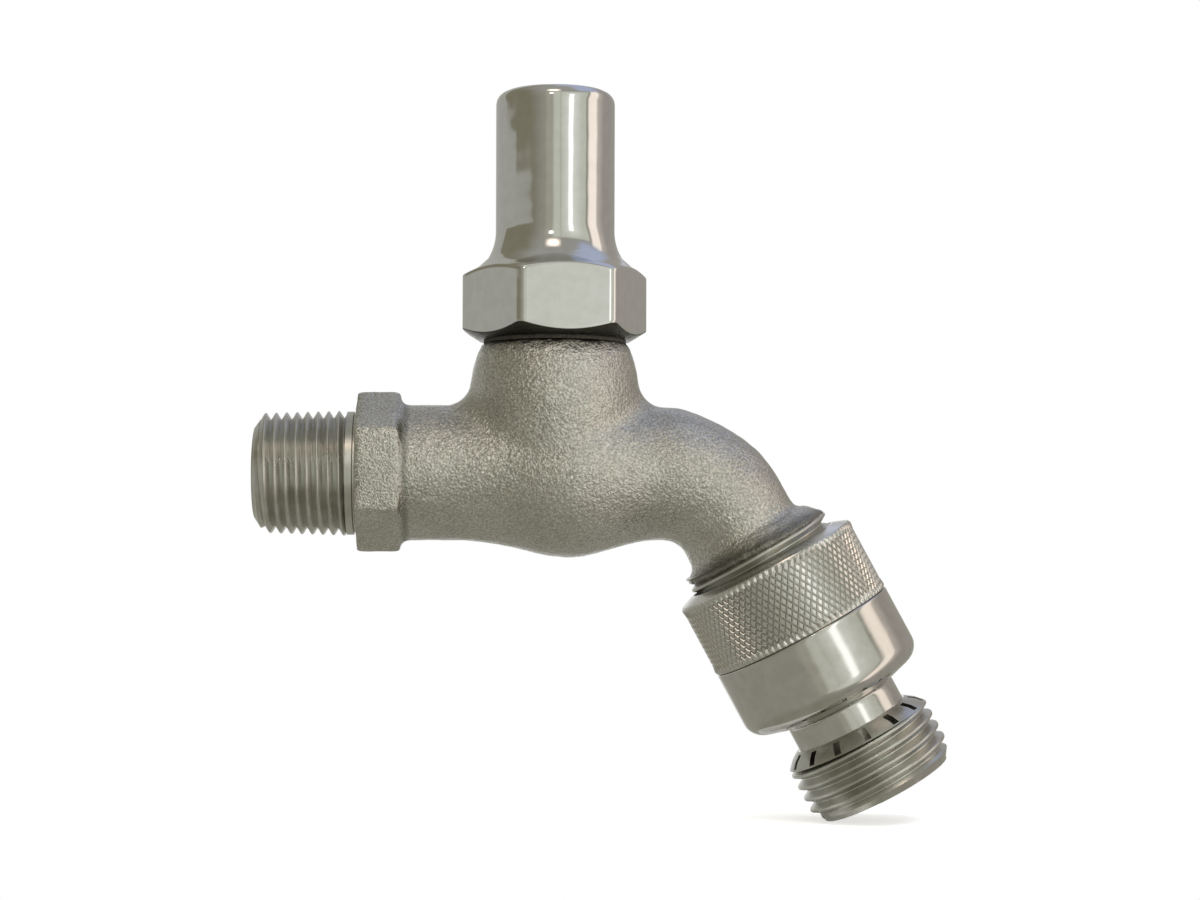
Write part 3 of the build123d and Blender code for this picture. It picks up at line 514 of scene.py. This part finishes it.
def make_cast_skin():
    """Rough skin of the casting between its two threads, water way included."""
    bm = bmesh.new()
    bm.from_mesh(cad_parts["body_casting"].data)
    bmesh.ops.scale(bm, vec=(1 / MM,) * 3, verts=bm.verts[:])
    bmesh.ops.remove_doubles(bm, verts=bm.verts[:], dist=SAME)
    # a tenth of a millimetre inside the threads' sleeves
    spout_cut = SPOUT_AXIS @ Vector((0, 0, SPOUT_THREAD_START - 0.1))
    for place, outwards in (((-0.1, 0, 0), (-1, 0, 0)), (spout_cut, OUTLET_WAY)):
        cut = bmesh.ops.bisect_plane(
            bm, geom=bm.verts[:] + bm.edges[:] + bm.faces[:], dist=SAME / 10,
            plane_co=place, plane_no=outwards, clear_outer=True,
        )["geom_cut"]
        rims = [item for item in cut if isinstance(item, bmesh.types.BMEdge)]
        bmesh.ops.bridge_loops(bm, edges=rims)
    bmesh.ops.recalc_face_normals(bm, faces=bm.faces[:])
    bm_lip = turned([(9.5, 1.6), (11.0, 2.2), (12.1, 3.4), (13.3, 4.6), (13.0, 5.2), (9.5, 5.2)])
    bmesh.ops.recalc_face_normals(bm_lip, faces=bm_lip.faces[:])
    bmesh.ops.transform(bm_lip, matrix=SPOUT_AXIS, verts=bm_lip.verts[:])
    lip_mesh = bpy.data.meshes.new("spout_lip")
    bm_lip.to_mesh(lip_mesh)
    bm_lip.free()
    bm.from_mesh(lip_mesh)
    skin = finish_mesh(bm, "casting_skin", Matrix.Identity(4), merge=False)
    remesh = skin.modifiers.new("even_faces", "REMESH")
    remesh.mode = "VOXEL"
    remesh.voxel_size = SKIN_FACE * MM
    shaped = bpy.data.meshes.new_from_object(
        skin.evaluated_get(bpy.context.evaluated_depsgraph_get())
    )
    bpy.data.objects.remove(skin)
    bm = bmesh.new()
    bm.from_mesh(shaped)
    bmesh.ops.scale(bm, vec=(1 / MM,) * 3, verts=bm.verts[:])
    for _ in range(3):
        bmesh.ops.smooth_vert(
            bm, verts=bm.verts[:], factor=0.5, use_axis_x=True, use_axis_y=True, use_axis_z=True
        )
    bm.normal_update()
    # mould lumps a few hundredths high, more on the torn lip and under the bonnet
    broad_size, broad_height = BROAD_LUMP
    small_size, small_height = SMALL_LUMP
    moves = []
    for vert in bm.verts:
        past_lip = (vert.co - SPOUT_ORIGIN).dot(OUTLET_WAY) - TORN_LIP
        past_rim = (vert.co.z - TORN_RIM) / TORN_RIM_REACH
        tear = TORN_HEIGHT * min(1.0, max(0.0, past_lip, past_rim))
        lumps = broad_height * noise.noise(vert.co / broad_size)
        lumps += (small_height + tear) * noise.noise(vert.co / small_size + Vector((7, 3, 5)))
        moves.append((vert, vert.normal * lumps))
    for vert, move in moves:
        vert.co += move
    return finish_mesh(bm, "casting_skin", Matrix.Identity(4), crisp=180, merge=False)


def make_inlet_thread():
    """Tapered pipe thread with its collar."""
    return threaded_sleeve(
        size=PIPE_THREAD,
        length=INLET_THREAD,
        limits=[(0, 7.95), (2.0, 10.95), (INLET_THREAD + 5, 12.0)],
        start_angle=pi,
        after=[
            (INLET_COLLAR, INLET_THREAD),
            (INLET_COLLAR, COLLAR_END - 0.15),
            (INLET_COLLAR - COLLAR_ROUND, COLLAR_END),
            (INLET_COLLAR - COLLAR_ROUND, -INLET_END + 0.3),
        ],
        bore=[(INLET_BORE, -INLET_END + 0.3), (INLET_BORE, 0)],
    )


def make_spout_thread():
    """Male hose thread at the end of the spout, under the coupling ring."""
    return threaded_sleeve(
        size=HOSE_THREAD,
        length=SPOUT_THREAD,
        limits=[(0, HOSE_CREST), (SPOUT_THREAD - 1.0, HOSE_CREST), (SPOUT_THREAD, 12.05)],
        start_angle=pi,
        after=[],
        bore=[(SPOUT_BORE, SPOUT_THREAD), (SPOUT_BORE, -0.3), (11.0, -0.3), (11.0, 0)],
    )


# Coupling ring

def snap_groove(radius, way):
    """Corners of the snap ring's groove at a radius: way is 1 in the ring, -1 in the spigot."""
    corners = ((-SNAP_GROOVE, 0.0), (-0.35, 0.4), (0.0, 0.5), (0.35, 0.4), (SNAP_GROOVE, 0.0))
    return [(radius + way * deep, SNAP_PLACE - way * along) for along, deep in corners]


def make_coupling_ring():
    """Knurled ring: crossed V grooves leave a blunt point on every other crossing of a grid."""
    rows = 13
    columns = 172
    groove = 0.3
    blunt = 58
    first = RING_TOP + 1.15
    step = (RING_END - 0.1 - first) / rows
    knurl = [(RING_RADIUS, first + step * row) for row in range(rows + 1)]
    outline = [
        (RING_BORE, RING_TOP),
        (13.9, RING_TOP),
        (RING_RADIUS - 0.1, RING_TOP + 0.95),
        *knurl,
        (RING_RADIUS - 0.1, RING_END),
        (RING_SOCKET, RING_END),
        *snap_groove(RING_SOCKET, 1),
        (RING_SOCKET, RING_SHOULDER),
        (RING_BORE, RING_SHOULDER),
    ]
    bm = turned(outline, steps=columns)
    low = set()
    high = []
    for vert in bm.verts:
        if abs(hypot(vert.co.x, vert.co.y) - RING_RADIUS) > SAME:
            continue
        row = round((vert.co.z - first) / step)
        column = round(atan2(vert.co.y, vert.co.x) / (2 * pi) * columns)
        if not 0 < row < rows:
            continue
        if (row + column) % 2:
            low.add(vert)
        else:
            high.append(vert)
    for vert in low:
        around(vert, RING_RADIUS - groove, vert.co.z)
    for vert in high:
        around(vert, RING_RADIUS + groove * blunt / (100 - blunt), vert.co.z)
    for face in bm.faces[:]:
        ends = [vert for vert in face.verts if vert in low]
        if len(ends) == 2:
            bmesh.utils.face_split(face, *ends)
    bmesh.ops.bevel(
        bm, geom=high, offset=blunt, offset_type="PERCENT", segments=1, profile=0.5,
        affect="VERTICES", material=-1,
    )
    return bm


def drill_set_screw_hole(ring):
    """Hole for the set screw, on the side away from the camera."""
    bm = bmesh.new()
    bmesh.ops.create_cone(
        bm, cap_ends=True, segments=40, radius1=SET_SCREW_HOLE, radius2=SET_SCREW_HOLE, depth=8.0,
        matrix=Matrix.Translation((0, -15.5, SET_SCREW_PLACE)) @ Matrix.Rotation(pi / 2, 4, "X"),
    )
    drill = finish_mesh(bm, "drill", SPOUT_AXIS)
    cut = ring.modifiers.new("set_screw_hole", "BOOLEAN")
    cut.operation = "DIFFERENCE"
    cut.solver = "EXACT"
    cut.object = drill
    drilled = bpy.data.meshes.new_from_object(
        ring.evaluated_get(bpy.context.evaluated_depsgraph_get())
    )
    bm = bmesh.new()
    bm.from_mesh(drilled)
    # the cut leaves long faces and slivers on its rim
    bmesh.ops.triangulate(bm, faces=[face for face in bm.faces if len(face.verts) > 4])
    bmesh.ops.remove_doubles(bm, verts=bm.verts[:], dist=0.02 * MM)
    bmesh.ops.dissolve_degenerate(bm, edges=bm.edges[:], dist=0.01 * MM)
    bm.to_mesh(drilled)
    bm.free()
    ring.modifiers.clear()
    ring.data = drilled
    bpy.data.objects.remove(drill)


# Breaker

def make_breaker_body():
    """Smooth body, neck and vented cone, with the vents cut in from outside."""
    middle = (NECK_END + CONE_END) / 2
    slope_low = (CONE_MIDDLE_RADIUS - CONE_START_RADIUS) / (middle - NECK_END)
    slope_high = (CONE_END_RADIUS - CONE_MIDDLE_RADIUS) / (CONE_END - middle)
    outline = [
        (SPIGOT_BORE, SPIGOT_START),
        (SPIGOT_RADIUS, SPIGOT_START),
        *snap_groove(SPIGOT_RADIUS, -1),
        (SPIGOT_RADIUS, BREAKER_START),
        (BREAKER_RADIUS, BREAKER_START),
        (BREAKER_RADIUS, BREAKER_START + 0.25 + HOLD),
        (BREAKER_RADIUS, 30.95 - HOLD),
        (BREAKER_RADIUS, 32.95),
        (14.4, 33.85),
        (NECK_RADIUS, BREAKER_END),
        (NECK_RADIUS, BREAKER_END + 0.45 + HOLD),
        (NECK_RADIUS, NECK_END),
        (CONE_START_RADIUS, NECK_END),
        (CONE_START_RADIUS + slope_low * (VENT_LOW - NECK_END), VENT_LOW),
        (CONE_MIDDLE_RADIUS, middle),
        (CONE_MIDDLE_RADIUS + slope_high * (VENT_HIGH - middle), VENT_HIGH),
        (CONE_END_RADIUS, CONE_END),
        (CONE_BORE, CONE_END),
        (CONE_BORE, TUBE_BORE_END),
        (TUBE_BORE, TUBE_BORE_END),
        (TUBE_BORE, SPIGOT_BORE_END),
        (SPIGOT_BORE, SPIGOT_BORE_END),
    ]
    shoulder = outline.index((BREAKER_RADIUS, BREAKER_START))
    rounds = {shoulder: 0.25, shoulder + 3: 3.0, shoulder + 5: 0.5}
    bm = turned(outline, rounds=rounds, steps=VENT_COUNT * 16)
    bmesh.ops.recalc_face_normals(bm, faces=bm.faces[:])
    pitch = 2 * pi / VENT_COUNT
    for index in range(VENT_COUNT):
        centre = pitch * (index + 0.5)
        along = Vector((cos(centre), sin(centre)))
        across = Vector((-sin(centre), cos(centre)))
        window = []
        for face in bm.faces:
            middle_point = face.calc_center_median()
            if not VENT_LOW < middle_point.z < VENT_HIGH or hypot(*middle_point.xy) < 10:
                continue
            off = (atan2(middle_point.y, middle_point.x) - centre + pi) % (2 * pi) - pi
            if abs(off) < pitch / 8:
                window.append(face)
        for vert in {vert for face in window for vert in face.verts}:
            off = (atan2(vert.co.y, vert.co.x) - centre + pi) % (2 * pi) - pi
            if abs(off) > pitch / 8 - pitch / 32:
                radius = hypot(*vert.co.xy)
                turn = centre + (1 if off > 0 else -1) * asin(VENT_WIDTH / 2 / radius)
                vert.co.xy = (radius * cos(turn), radius * sin(turn))
        for vert in bmesh.ops.extrude_face_region(bm, geom=window)["geom"]:
            if isinstance(vert, bmesh.types.BMVert):
                side = vert.co.xy.dot(across)
                vert.co.xy = along * sqrt(VENT_DEPTH_RADIUS**2 - side**2) + across * side
        bmesh.ops.delete(bm, geom=[face for face in window if face.is_valid], context="FACES_ONLY")
    return bm


def make_outlet_thread():
    """Male hose thread of the outlet with its long smooth lead."""
    length = OUTLET_END - CONE_END
    return threaded_sleeve(
        size=HOSE_THREAD,
        length=length,
        limits=[
            (0, CONE_END_RADIUS), (0.3, HOSE_CREST), (length - 2.5, HOSE_CREST),
            (length - 0.5, 12.0), (length, 11.7),
        ],
        start_angle=0.0,
        after=[],
        bore=[
            (9.0, length), (9.0, length - 6.6), (6.2, length - 6.6), (6.2, 1.6),
            (CONE_BORE, 1.6), (CONE_BORE, 0),
        ],
    )


# Spring

def make_spring():
    """Spring behind the check poppet, as the part has it."""
    bm = bmesh.new()
    bm.from_mesh(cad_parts["poppet_spring"].data)
    bmesh.ops.scale(bm, vec=(1 / MM,) * 3, verts=bm.verts[:])
    return finish_mesh(bm, "closing_spring", Matrix.Identity(4))


# Bonnet

def hex_radius(offset):
    """Radius of the rounded hexagon at an angle from its nearest corner."""
    corner = HEX_FLATS / 2 / cos(pi / 6)
    centre = corner - HEX_ROUND / sin(pi / 3)
    reach = HEX_ROUND / tan(pi / 3)
    touch = atan2(reach * sin(pi / 3), corner - reach * cos(pi / 3))
    if abs(offset) < touch:
        return centre * cos(offset) + sqrt(HEX_ROUND**2 - (centre * sin(offset)) ** 2)
    return HEX_FLATS / 2 / cos(pi / 6 - abs(offset))


def make_bonnet():
    """Bonnet: the hex is a turned band whose columns crowd at the corners and follow its flats."""
    soft = 0.12
    # rows of the hex band, each turned first at a radius of its own that no other corner has
    marks = {
        "low": 18.0, "low_side": 19.0, "low_hold": 19.3, "high_hold": 19.6, "high_side": 20.0,
        "high": 21.0, "top": 22.0,
    }
    cove_drop = CROWN_RADIUS - SHIELD_RADIUS
    cove_rise = COVE_TOP - CROWN_HEIGHT
    cove_radius = (cove_rise**2 + cove_drop**2) / (2 * cove_drop)
    cove_turn = asin(cove_rise / cove_radius)
    cove_steps = 8
    cove = []
    for index in range(1, cove_steps + 1):
        turn = cove_turn * (1 - index / cove_steps)
        cove.append(
            (SHIELD_RADIUS + cove_radius * (1 - cos(turn)), COVE_TOP - cove_radius * sin(turn))
        )
    outline = [
        (SKIRT_BORE, SKIRT_FOOT),
        (SKIRT_RADIUS, SKIRT_FOOT),
        (SKIRT_RADIUS, HEX_FOOT),
        (HEX_FOOT_RADIUS, HEX_FOOT),
        (marks["low"], 24.0),
        (marks["low_side"], 25.0),
        (marks["low_hold"], 26.0),
        (marks["high_hold"], 32.0),
        (marks["high_side"], 33.0),
        (marks["high"], 34.0),
        (marks["top"], HEX_TOP),
        (CROWN_RADIUS, CROWN_HEIGHT),
        *cove,
        (SHIELD_RADIUS, COVE_TOP + HOLD),
        (SHIELD_RADIUS, SHIELD_TOP - SHIELD_ROUND - HOLD),
        (SHIELD_RADIUS, SHIELD_TOP),
        (SHIELD_BORE, SHIELD_TOP),
        (SHIELD_BORE, NUT_BORE_TOP),
        (NUT_BORE, NUT_BORE_TOP),
        (NUT_BORE, PACKING_BORE_TOP),
        (PACKING_BORE, PACKING_BORE_TOP),
        (PACKING_BORE, STEM_BORE_TOP),
        (STEM_BORE, STEM_BORE_TOP),
        (STEM_BORE, SKIRT_BORE_TOP),
        (SKIRT_BORE, SKIRT_BORE_TOP),
    ]
    lip = outline.index((SHIELD_RADIUS, SHIELD_TOP))
    bm = turned(outline, rounds={lip: SHIELD_ROUND, lip + 1: 0.25}, steps=300)
    turn = radians(HEX_TURN)
    crowding = 0.8
    for vert in bm.verts:
        angle = atan2(vert.co.y, vert.co.x)
        angle -= crowding * sin(6 * (angle - turn)) / 6
        flat_radius = hex_radius((angle - turn + pi / 6) % (pi / 3) - pi / 6)
        low = HEX_FOOT + (flat_radius - HEX_FOOT_RADIUS) * FOOT_SLOPE
        high = HEX_TOP_EDGE - (flat_radius - HEX_TOP_RADIUS) * TOP_SLOPE
        rows = {
            "low": (flat_radius - soft, low - soft * FOOT_SLOPE),
            "low_side": (flat_radius, low + soft),
            "low_hold": (flat_radius, low + soft + HOLD),
            "high_hold": (flat_radius, high - soft - HOLD),
            "high_side": (flat_radius, high - soft),
            "high": (flat_radius - soft, high + soft * TOP_SLOPE),
            "top": (HEX_TOP_RADIUS - soft, HEX_TOP_EDGE + soft * TOP_SLOPE),
        }
        radius, height = hypot(vert.co.x, vert.co.y), vert.co.z
        for mark, mark_radius in marks.items():
            if abs(radius - mark_radius) < SAME:
                radius, height = rows[mark]
                break
        vert.co = (radius * cos(angle), radius * sin(angle), height)
    return bm


# Putting the pieces in

dress(make_cast_skin(), [CAST], "cast_body", "body_casting")
inlet_place = Matrix.Translation((INLET_END, 0, 0)) @ RUN_AXIS
spout_place = SPOUT_AXIS @ Matrix.Translation((0, 0, SPOUT_THREAD_START))
outlet_place = SPOUT_AXIS @ Matrix.Translation((0, 0, CONE_END))
cut_finishes = [MACHINED, WORN]
dress(finish_mesh(make_inlet_thread(), "inlet_thread", inlet_place), cut_finishes, "cast_body")
dress(finish_mesh(make_spout_thread(), "spout_thread", spout_place), [MACHINED], "cast_body")
ring = finish_mesh(make_coupling_ring(), "knurled_ring", SPOUT_AXIS, crisp=10)
drill_set_screw_hole(ring)
dress(ring, [KNURLED], "knurled_plate", "coupling_ring")
breaker = finish_mesh(make_breaker_body(), "breaker_shell", SPOUT_AXIS)
dress(breaker, [SATIN, MACHINED], "polished_plate", "breaker_body")
neck_end = (SPOUT_AXIS @ Vector((0, 0, NECK_END))) * MM
# cone and vents are cut and plated without polishing
for face in breaker.data.polygons:
    if (face.center - neck_end).dot(OUTLET_WAY) > 0:
        face.material_index = 1
outlet = finish_mesh(make_outlet_thread(), "outlet_thread", outlet_place)
dress(outlet, cut_finishes, "polished_plate")
# the spring as the part has it, on a mesh of its own
spring = dress(make_spring(), [STEEL], "steel", "poppet_spring")
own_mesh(spring)
bonnet = finish_mesh(make_bonnet(), "bonnet_shell", BONNET_AXIS, crisp=40)
dress(bonnet, [POLISHED, CAST], "polished_plate", "bonnet")
# the underside of the hex is as rough as the casting, and takes the casting's painted shade under
# the bonnet
for face in bonnet.data.polygons:
    if face.normal.z < -0.4 and HEX_FOOT - 0.1 < face.center.z / MM < HEX_FOOT + 3:
        face.material_index = 1

# pieces that keep the part's own shape
NODE_FINISHES = {
    BRASS: [
        "seat_ring", "packing_washer", "packing_gland", "packing_nut", "stem", "disc_holder",
        "washer_screw",
    ],
    STEEL: ["set_screw", "snap_ring"],
    RUBBER: ["seat_washer", "hose_washer", "seat_seal", "diaphragm", "tube_seal", "poppet_seal"],
    GRAPHITE: ["stem_packing"],
    FIBRE_PAINTED_DARK: ["bonnet_gasket"],
    ACETAL: ["check_seat", "spacer_ring", "vent_tube", "check_poppet"],
}
for finish, names in NODE_FINISHES.items():
    for name in names:
        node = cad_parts[name]
        for material_slot in node.material_slots:
            material_slot.link = "OBJECT"
            material_slot.material = finish


# Floor, room and lamps

def make_floor():
    """Pale round floor under the outlet that keeps the object's shadow."""
    bm = bmesh.new()
    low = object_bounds()[0].z
    bmesh.ops.create_circle(bm, cap_ends=True, segments=96, radius=0.022)
    bmesh.ops.translate(bm, vec=(0.084, 0.01, low), verts=bm.verts[:])
    mesh = bpy.data.meshes.new("floor")
    bm.to_mesh(mesh)
    bm.free()
    floor = bpy.data.objects.new("floor", mesh)
    bpy.context.scene.collection.objects.link(floor)
    # paper that the camera sees nearly white, and that glows only a little in the metal
    material, tree = blank_material("pale_paper")
    rays = add(tree, "ShaderNodeLightPath", {}).outputs
    mirrored = add(tree, "ShaderNodeMath", {
        "operation": "MAXIMUM", 0: rays["Is Glossy Ray"], 1: rays["Is Transmission Ray"],
    }).outputs[0]
    seen = add(tree, "ShaderNodeMath", {
        "operation": "MULTIPLY", 0: rays["Is Camera Ray"], 1: 0.6,
    }).outputs[0]
    glow = add(tree, "ShaderNodeMath", {
        "operation": "MULTIPLY_ADD", 0: mirrored, 1: 0.1, 2: seen,
    }).outputs[0]
    paper = add(tree, "ShaderNodeBsdfDiffuse", {"Color": linear("#F0F0EE")}).outputs[0]
    light = add(tree, "ShaderNodeEmission", {"Strength": glow}).outputs[0]
    both = add(tree, "ShaderNodeAddShader", {0: paper, 1: light}).outputs[0]
    add(tree, "ShaderNodeOutputMaterial", {"Surface": both})
    mesh.materials.append(material)


# Walls and soft boxes of the room, by the direction that they are seen in from the object:
# azimuth from the camera's side towards +X and its half width, elevation and its half height,
# softness of the edge, all in degrees, then the colour and its strength
ROOM = [
    ("floor_side", 0, 200, -74, 34, 12, "#9A998B", 1.0),
    ("ceiling", 0, 200, 70, 32, 18, "#B0AFA9", 1.0),
    ("sky_behind", 150, 38, 46, 22, 12, "#D3D9EE", 1.4),
    ("dark_door", -74, 40, 25, 37, 16, "#8E8A78", 1.0),
    ("left_wall", -162, 60, 25, 40, 2.2, "#B9B8B1", 1.0),
    ("box_edge", 20, 38, 8, 30, 3, "#B9B7A9", 1.0),
    ("soft_box", 26, 31, 8, 30, 3, "#E2E4D8", 0.95),
    ("box_middle", 28, 12, 4, 26, 11, "#F4F5EE", 1.05),
    ("window_bar", 8, 1.4, 8, 30, 1.2, "#D0D1C4", 1.0),
    ("bright_tube", 26.3, 3.9, 12, 11, 1.8, "#FFFFFC", 1.9),
    ("right_gap", 58, 2.2, 5, 60, 1.2, "#A9A79C", 1.0),
    ("right_wall", 110, 24, 0, 60, 6, "#AFA9A3", 1.0),
    ("warm_edge", 78, 12, 8, 34, 10, "#D8CEC6", 1.0),
    ("warm_card", 70, 9.5, 8, 36, 3, "#FFF3E8", 1.4),
    ("blue_card", 74, 38, 58, 14, 8, "#C3CCE8", 1.0),
    ("warm_panel", -4, 8, 51, 7, 6, "#FFEDDD", 3.0),
    ("small_lamp", -8, 2.4, 27, 1.8, 1.6, "#FFFFFF", 12.0),
]
ROOM_BASE = "#A9A79C"
# Steps of the left wall's edge: elevations where a step starts and ends, and how far it goes
WALL_STEPS = [(11.3, 10.5, 25), (9.6, 9.35, 29), (9.3, 8.5, 6), (7.9, 7.3, -36)]
# how much the room's upright edges close in for each degree of elevation
WALL_LEAN = 0.007


def make_room():
    """World: the studio room in reflections and white behind the object."""
    world = bpy.data.worlds.new("studio_room")
    bpy.context.scene.world = world
    world.use_nodes = True
    tree = world.node_tree
    tree.nodes.clear()
    direction = add(tree, "ShaderNodeTexCoord", {}).outputs["Generated"]
    parts = add(tree, "ShaderNodeSeparateXYZ", {"Vector": direction}).outputs
    forwards = add(tree, "ShaderNodeMath", {
        "operation": "MULTIPLY", 0: parts["Y"], 1: -1,
    }).outputs[0]
    turn = add(tree, "ShaderNodeMath", {
        "operation": "ARCTAN2", 0: parts["X"], 1: forwards,
    }).outputs[0]
    rise = add(tree, "ShaderNodeMath", {"operation": "ARCSINE", 0: parts["Z"]}).outputs[0]
    upright, elevation = [
        add(tree, "ShaderNodeMath", {
            "operation": "MULTIPLY", 0: angle, 1: degrees(1),
        }).outputs[0]
        for angle in (turn, rise)
    ]
    closing = add(tree, "ShaderNodeMath", {
        "operation": "MULTIPLY", 0: elevation, 1: WALL_LEAN,
    }).outputs[0]
    lean = add(tree, "ShaderNodeMath", {"operation": "SUBTRACT", 0: 1.0, 1: closing}).outputs[0]
    azimuth = add(tree, "ShaderNodeMath", {
        "operation": "MULTIPLY", 0: upright, 1: lean,
    }).outputs[0]
    colour = linear(ROOM_BASE)
    for name, side, half_side, up, half_up, softness, code, strength in ROOM:
        place = side
        if name == "left_wall":
            for start, end, shift in WALL_STEPS:
                step = add(tree, "ShaderNodeMapRange", {
                    "From Min": start, "From Max": end, "To Min": 0, "To Max": shift,
                    "Value": elevation,
                }).outputs["Result"]
                place = add(tree, "ShaderNodeMath", {
                    "operation": "ADD", 0: place, 1: step,
                }).outputs[0]
        shares = []
        for angle, middle, half in ((azimuth, place, half_side), (elevation, up, half_up)):
            off = add(tree, "ShaderNodeMath", {
                "operation": "SUBTRACT", 0: angle, 1: middle,
            }).outputs[0]
            off = add(tree, "ShaderNodeMath", {"operation": "ABSOLUTE", 0: off}).outputs[0]
            shares.append(add(tree, "ShaderNodeMapRange", {
                "interpolation_type": "SMOOTHSTEP", "From Min": half + softness,
                "From Max": half - softness, "To Min": 0.0, "To Max": 1.0, "Value": off,
            }).outputs["Result"])
        share = add(tree, "ShaderNodeMath", {
            "operation": "MULTIPLY", 0: shares[0], 1: shares[1],
        }).outputs[0]
        card = [channel * strength for channel in linear(code)[:3]] + [1.0]
        colour = add(tree, "ShaderNodeMix", {
            "data_type": "RGBA", "label": name, 0: share, 6: colour, 7: card,
        }).outputs[2]
    # the white background, which metal shows where it mirrors what is behind the object
    behind = add(tree, "ShaderNodeMapRange", {
        "From Min": 0.95, "From Max": 0.98, "Value": parts["Y"],
    }).outputs["Result"]
    rays = add(tree, "ShaderNodeLightPath", {}).outputs
    mirrored = add(tree, "ShaderNodeMath", {
        "operation": "MAXIMUM", 0: rays["Is Glossy Ray"], 1: rays["Is Transmission Ray"],
    }).outputs[0]
    in_metal = add(tree, "ShaderNodeMath", {
        "operation": "MULTIPLY", 0: mirrored, 1: behind,
    }).outputs[0]
    white = add(tree, "ShaderNodeMath", {
        "operation": "MAXIMUM", 0: rays["Is Camera Ray"], 1: in_metal,
    }).outputs[0]
    colour = add(tree, "ShaderNodeMix", {
        "data_type": "RGBA", 0: white, 6: colour, 7: linear("#FFFFFF"),
    }).outputs[2]
    background = add(tree, "ShaderNodeBackground", {"Strength": 1.0, "Color": colour})
    add(tree, "ShaderNodeOutputWorld", {"Surface": background.outputs[0]})


def make_lamp(name, place, size, power):
    """Soft box aimed at the object; mirrors see the room's own boxes in its stead."""
    data = bpy.data.lights.new(name, "AREA")
    data.shape = "DISK"
    data.size = size
    data.energy = power
    lamp = bpy.data.objects.new(name, data)
    bpy.context.scene.collection.objects.link(lamp)
    lamp.location = place
    aim = Vector((0.04, 0, 0)) - Vector(place)
    lamp.rotation_euler = aim.to_track_quat("-Z", "Y").to_euler()
    lamp.visible_glossy = False
    lamp.visible_camera = False


def make_camera():
    """Camera at the photograph's place, a little below the bonnet and tilted up."""
    data = bpy.data.cameras.new("camera")
    data.sensor_fit = "HORIZONTAL"
    data.sensor_width = 36.0
    data.lens = 70.43
    data.shift_x = 0.05
    data.shift_y = 0.0325
    data.clip_start = 0.01
    data.clip_end = 20.0
    camera = bpy.data.objects.new("camera", data)
    bpy.context.scene.collection.objects.link(camera)
    camera.location = (0.022, -0.4082, -0.016)
    camera.rotation_euler = (radians(91.879), radians(-0.185), radians(-1.376))
    bpy.context.scene.camera = camera


make_floor()
make_room()
make_lamp("key_box", (0.25, -0.45, 0.75), 0.5, 4.0)
make_lamp("top_box", (-0.1, 0.1, 0.9), 0.7, 3.0)
make_camera()
bpy.context.scene.view_settings.view_transform = "Standard"
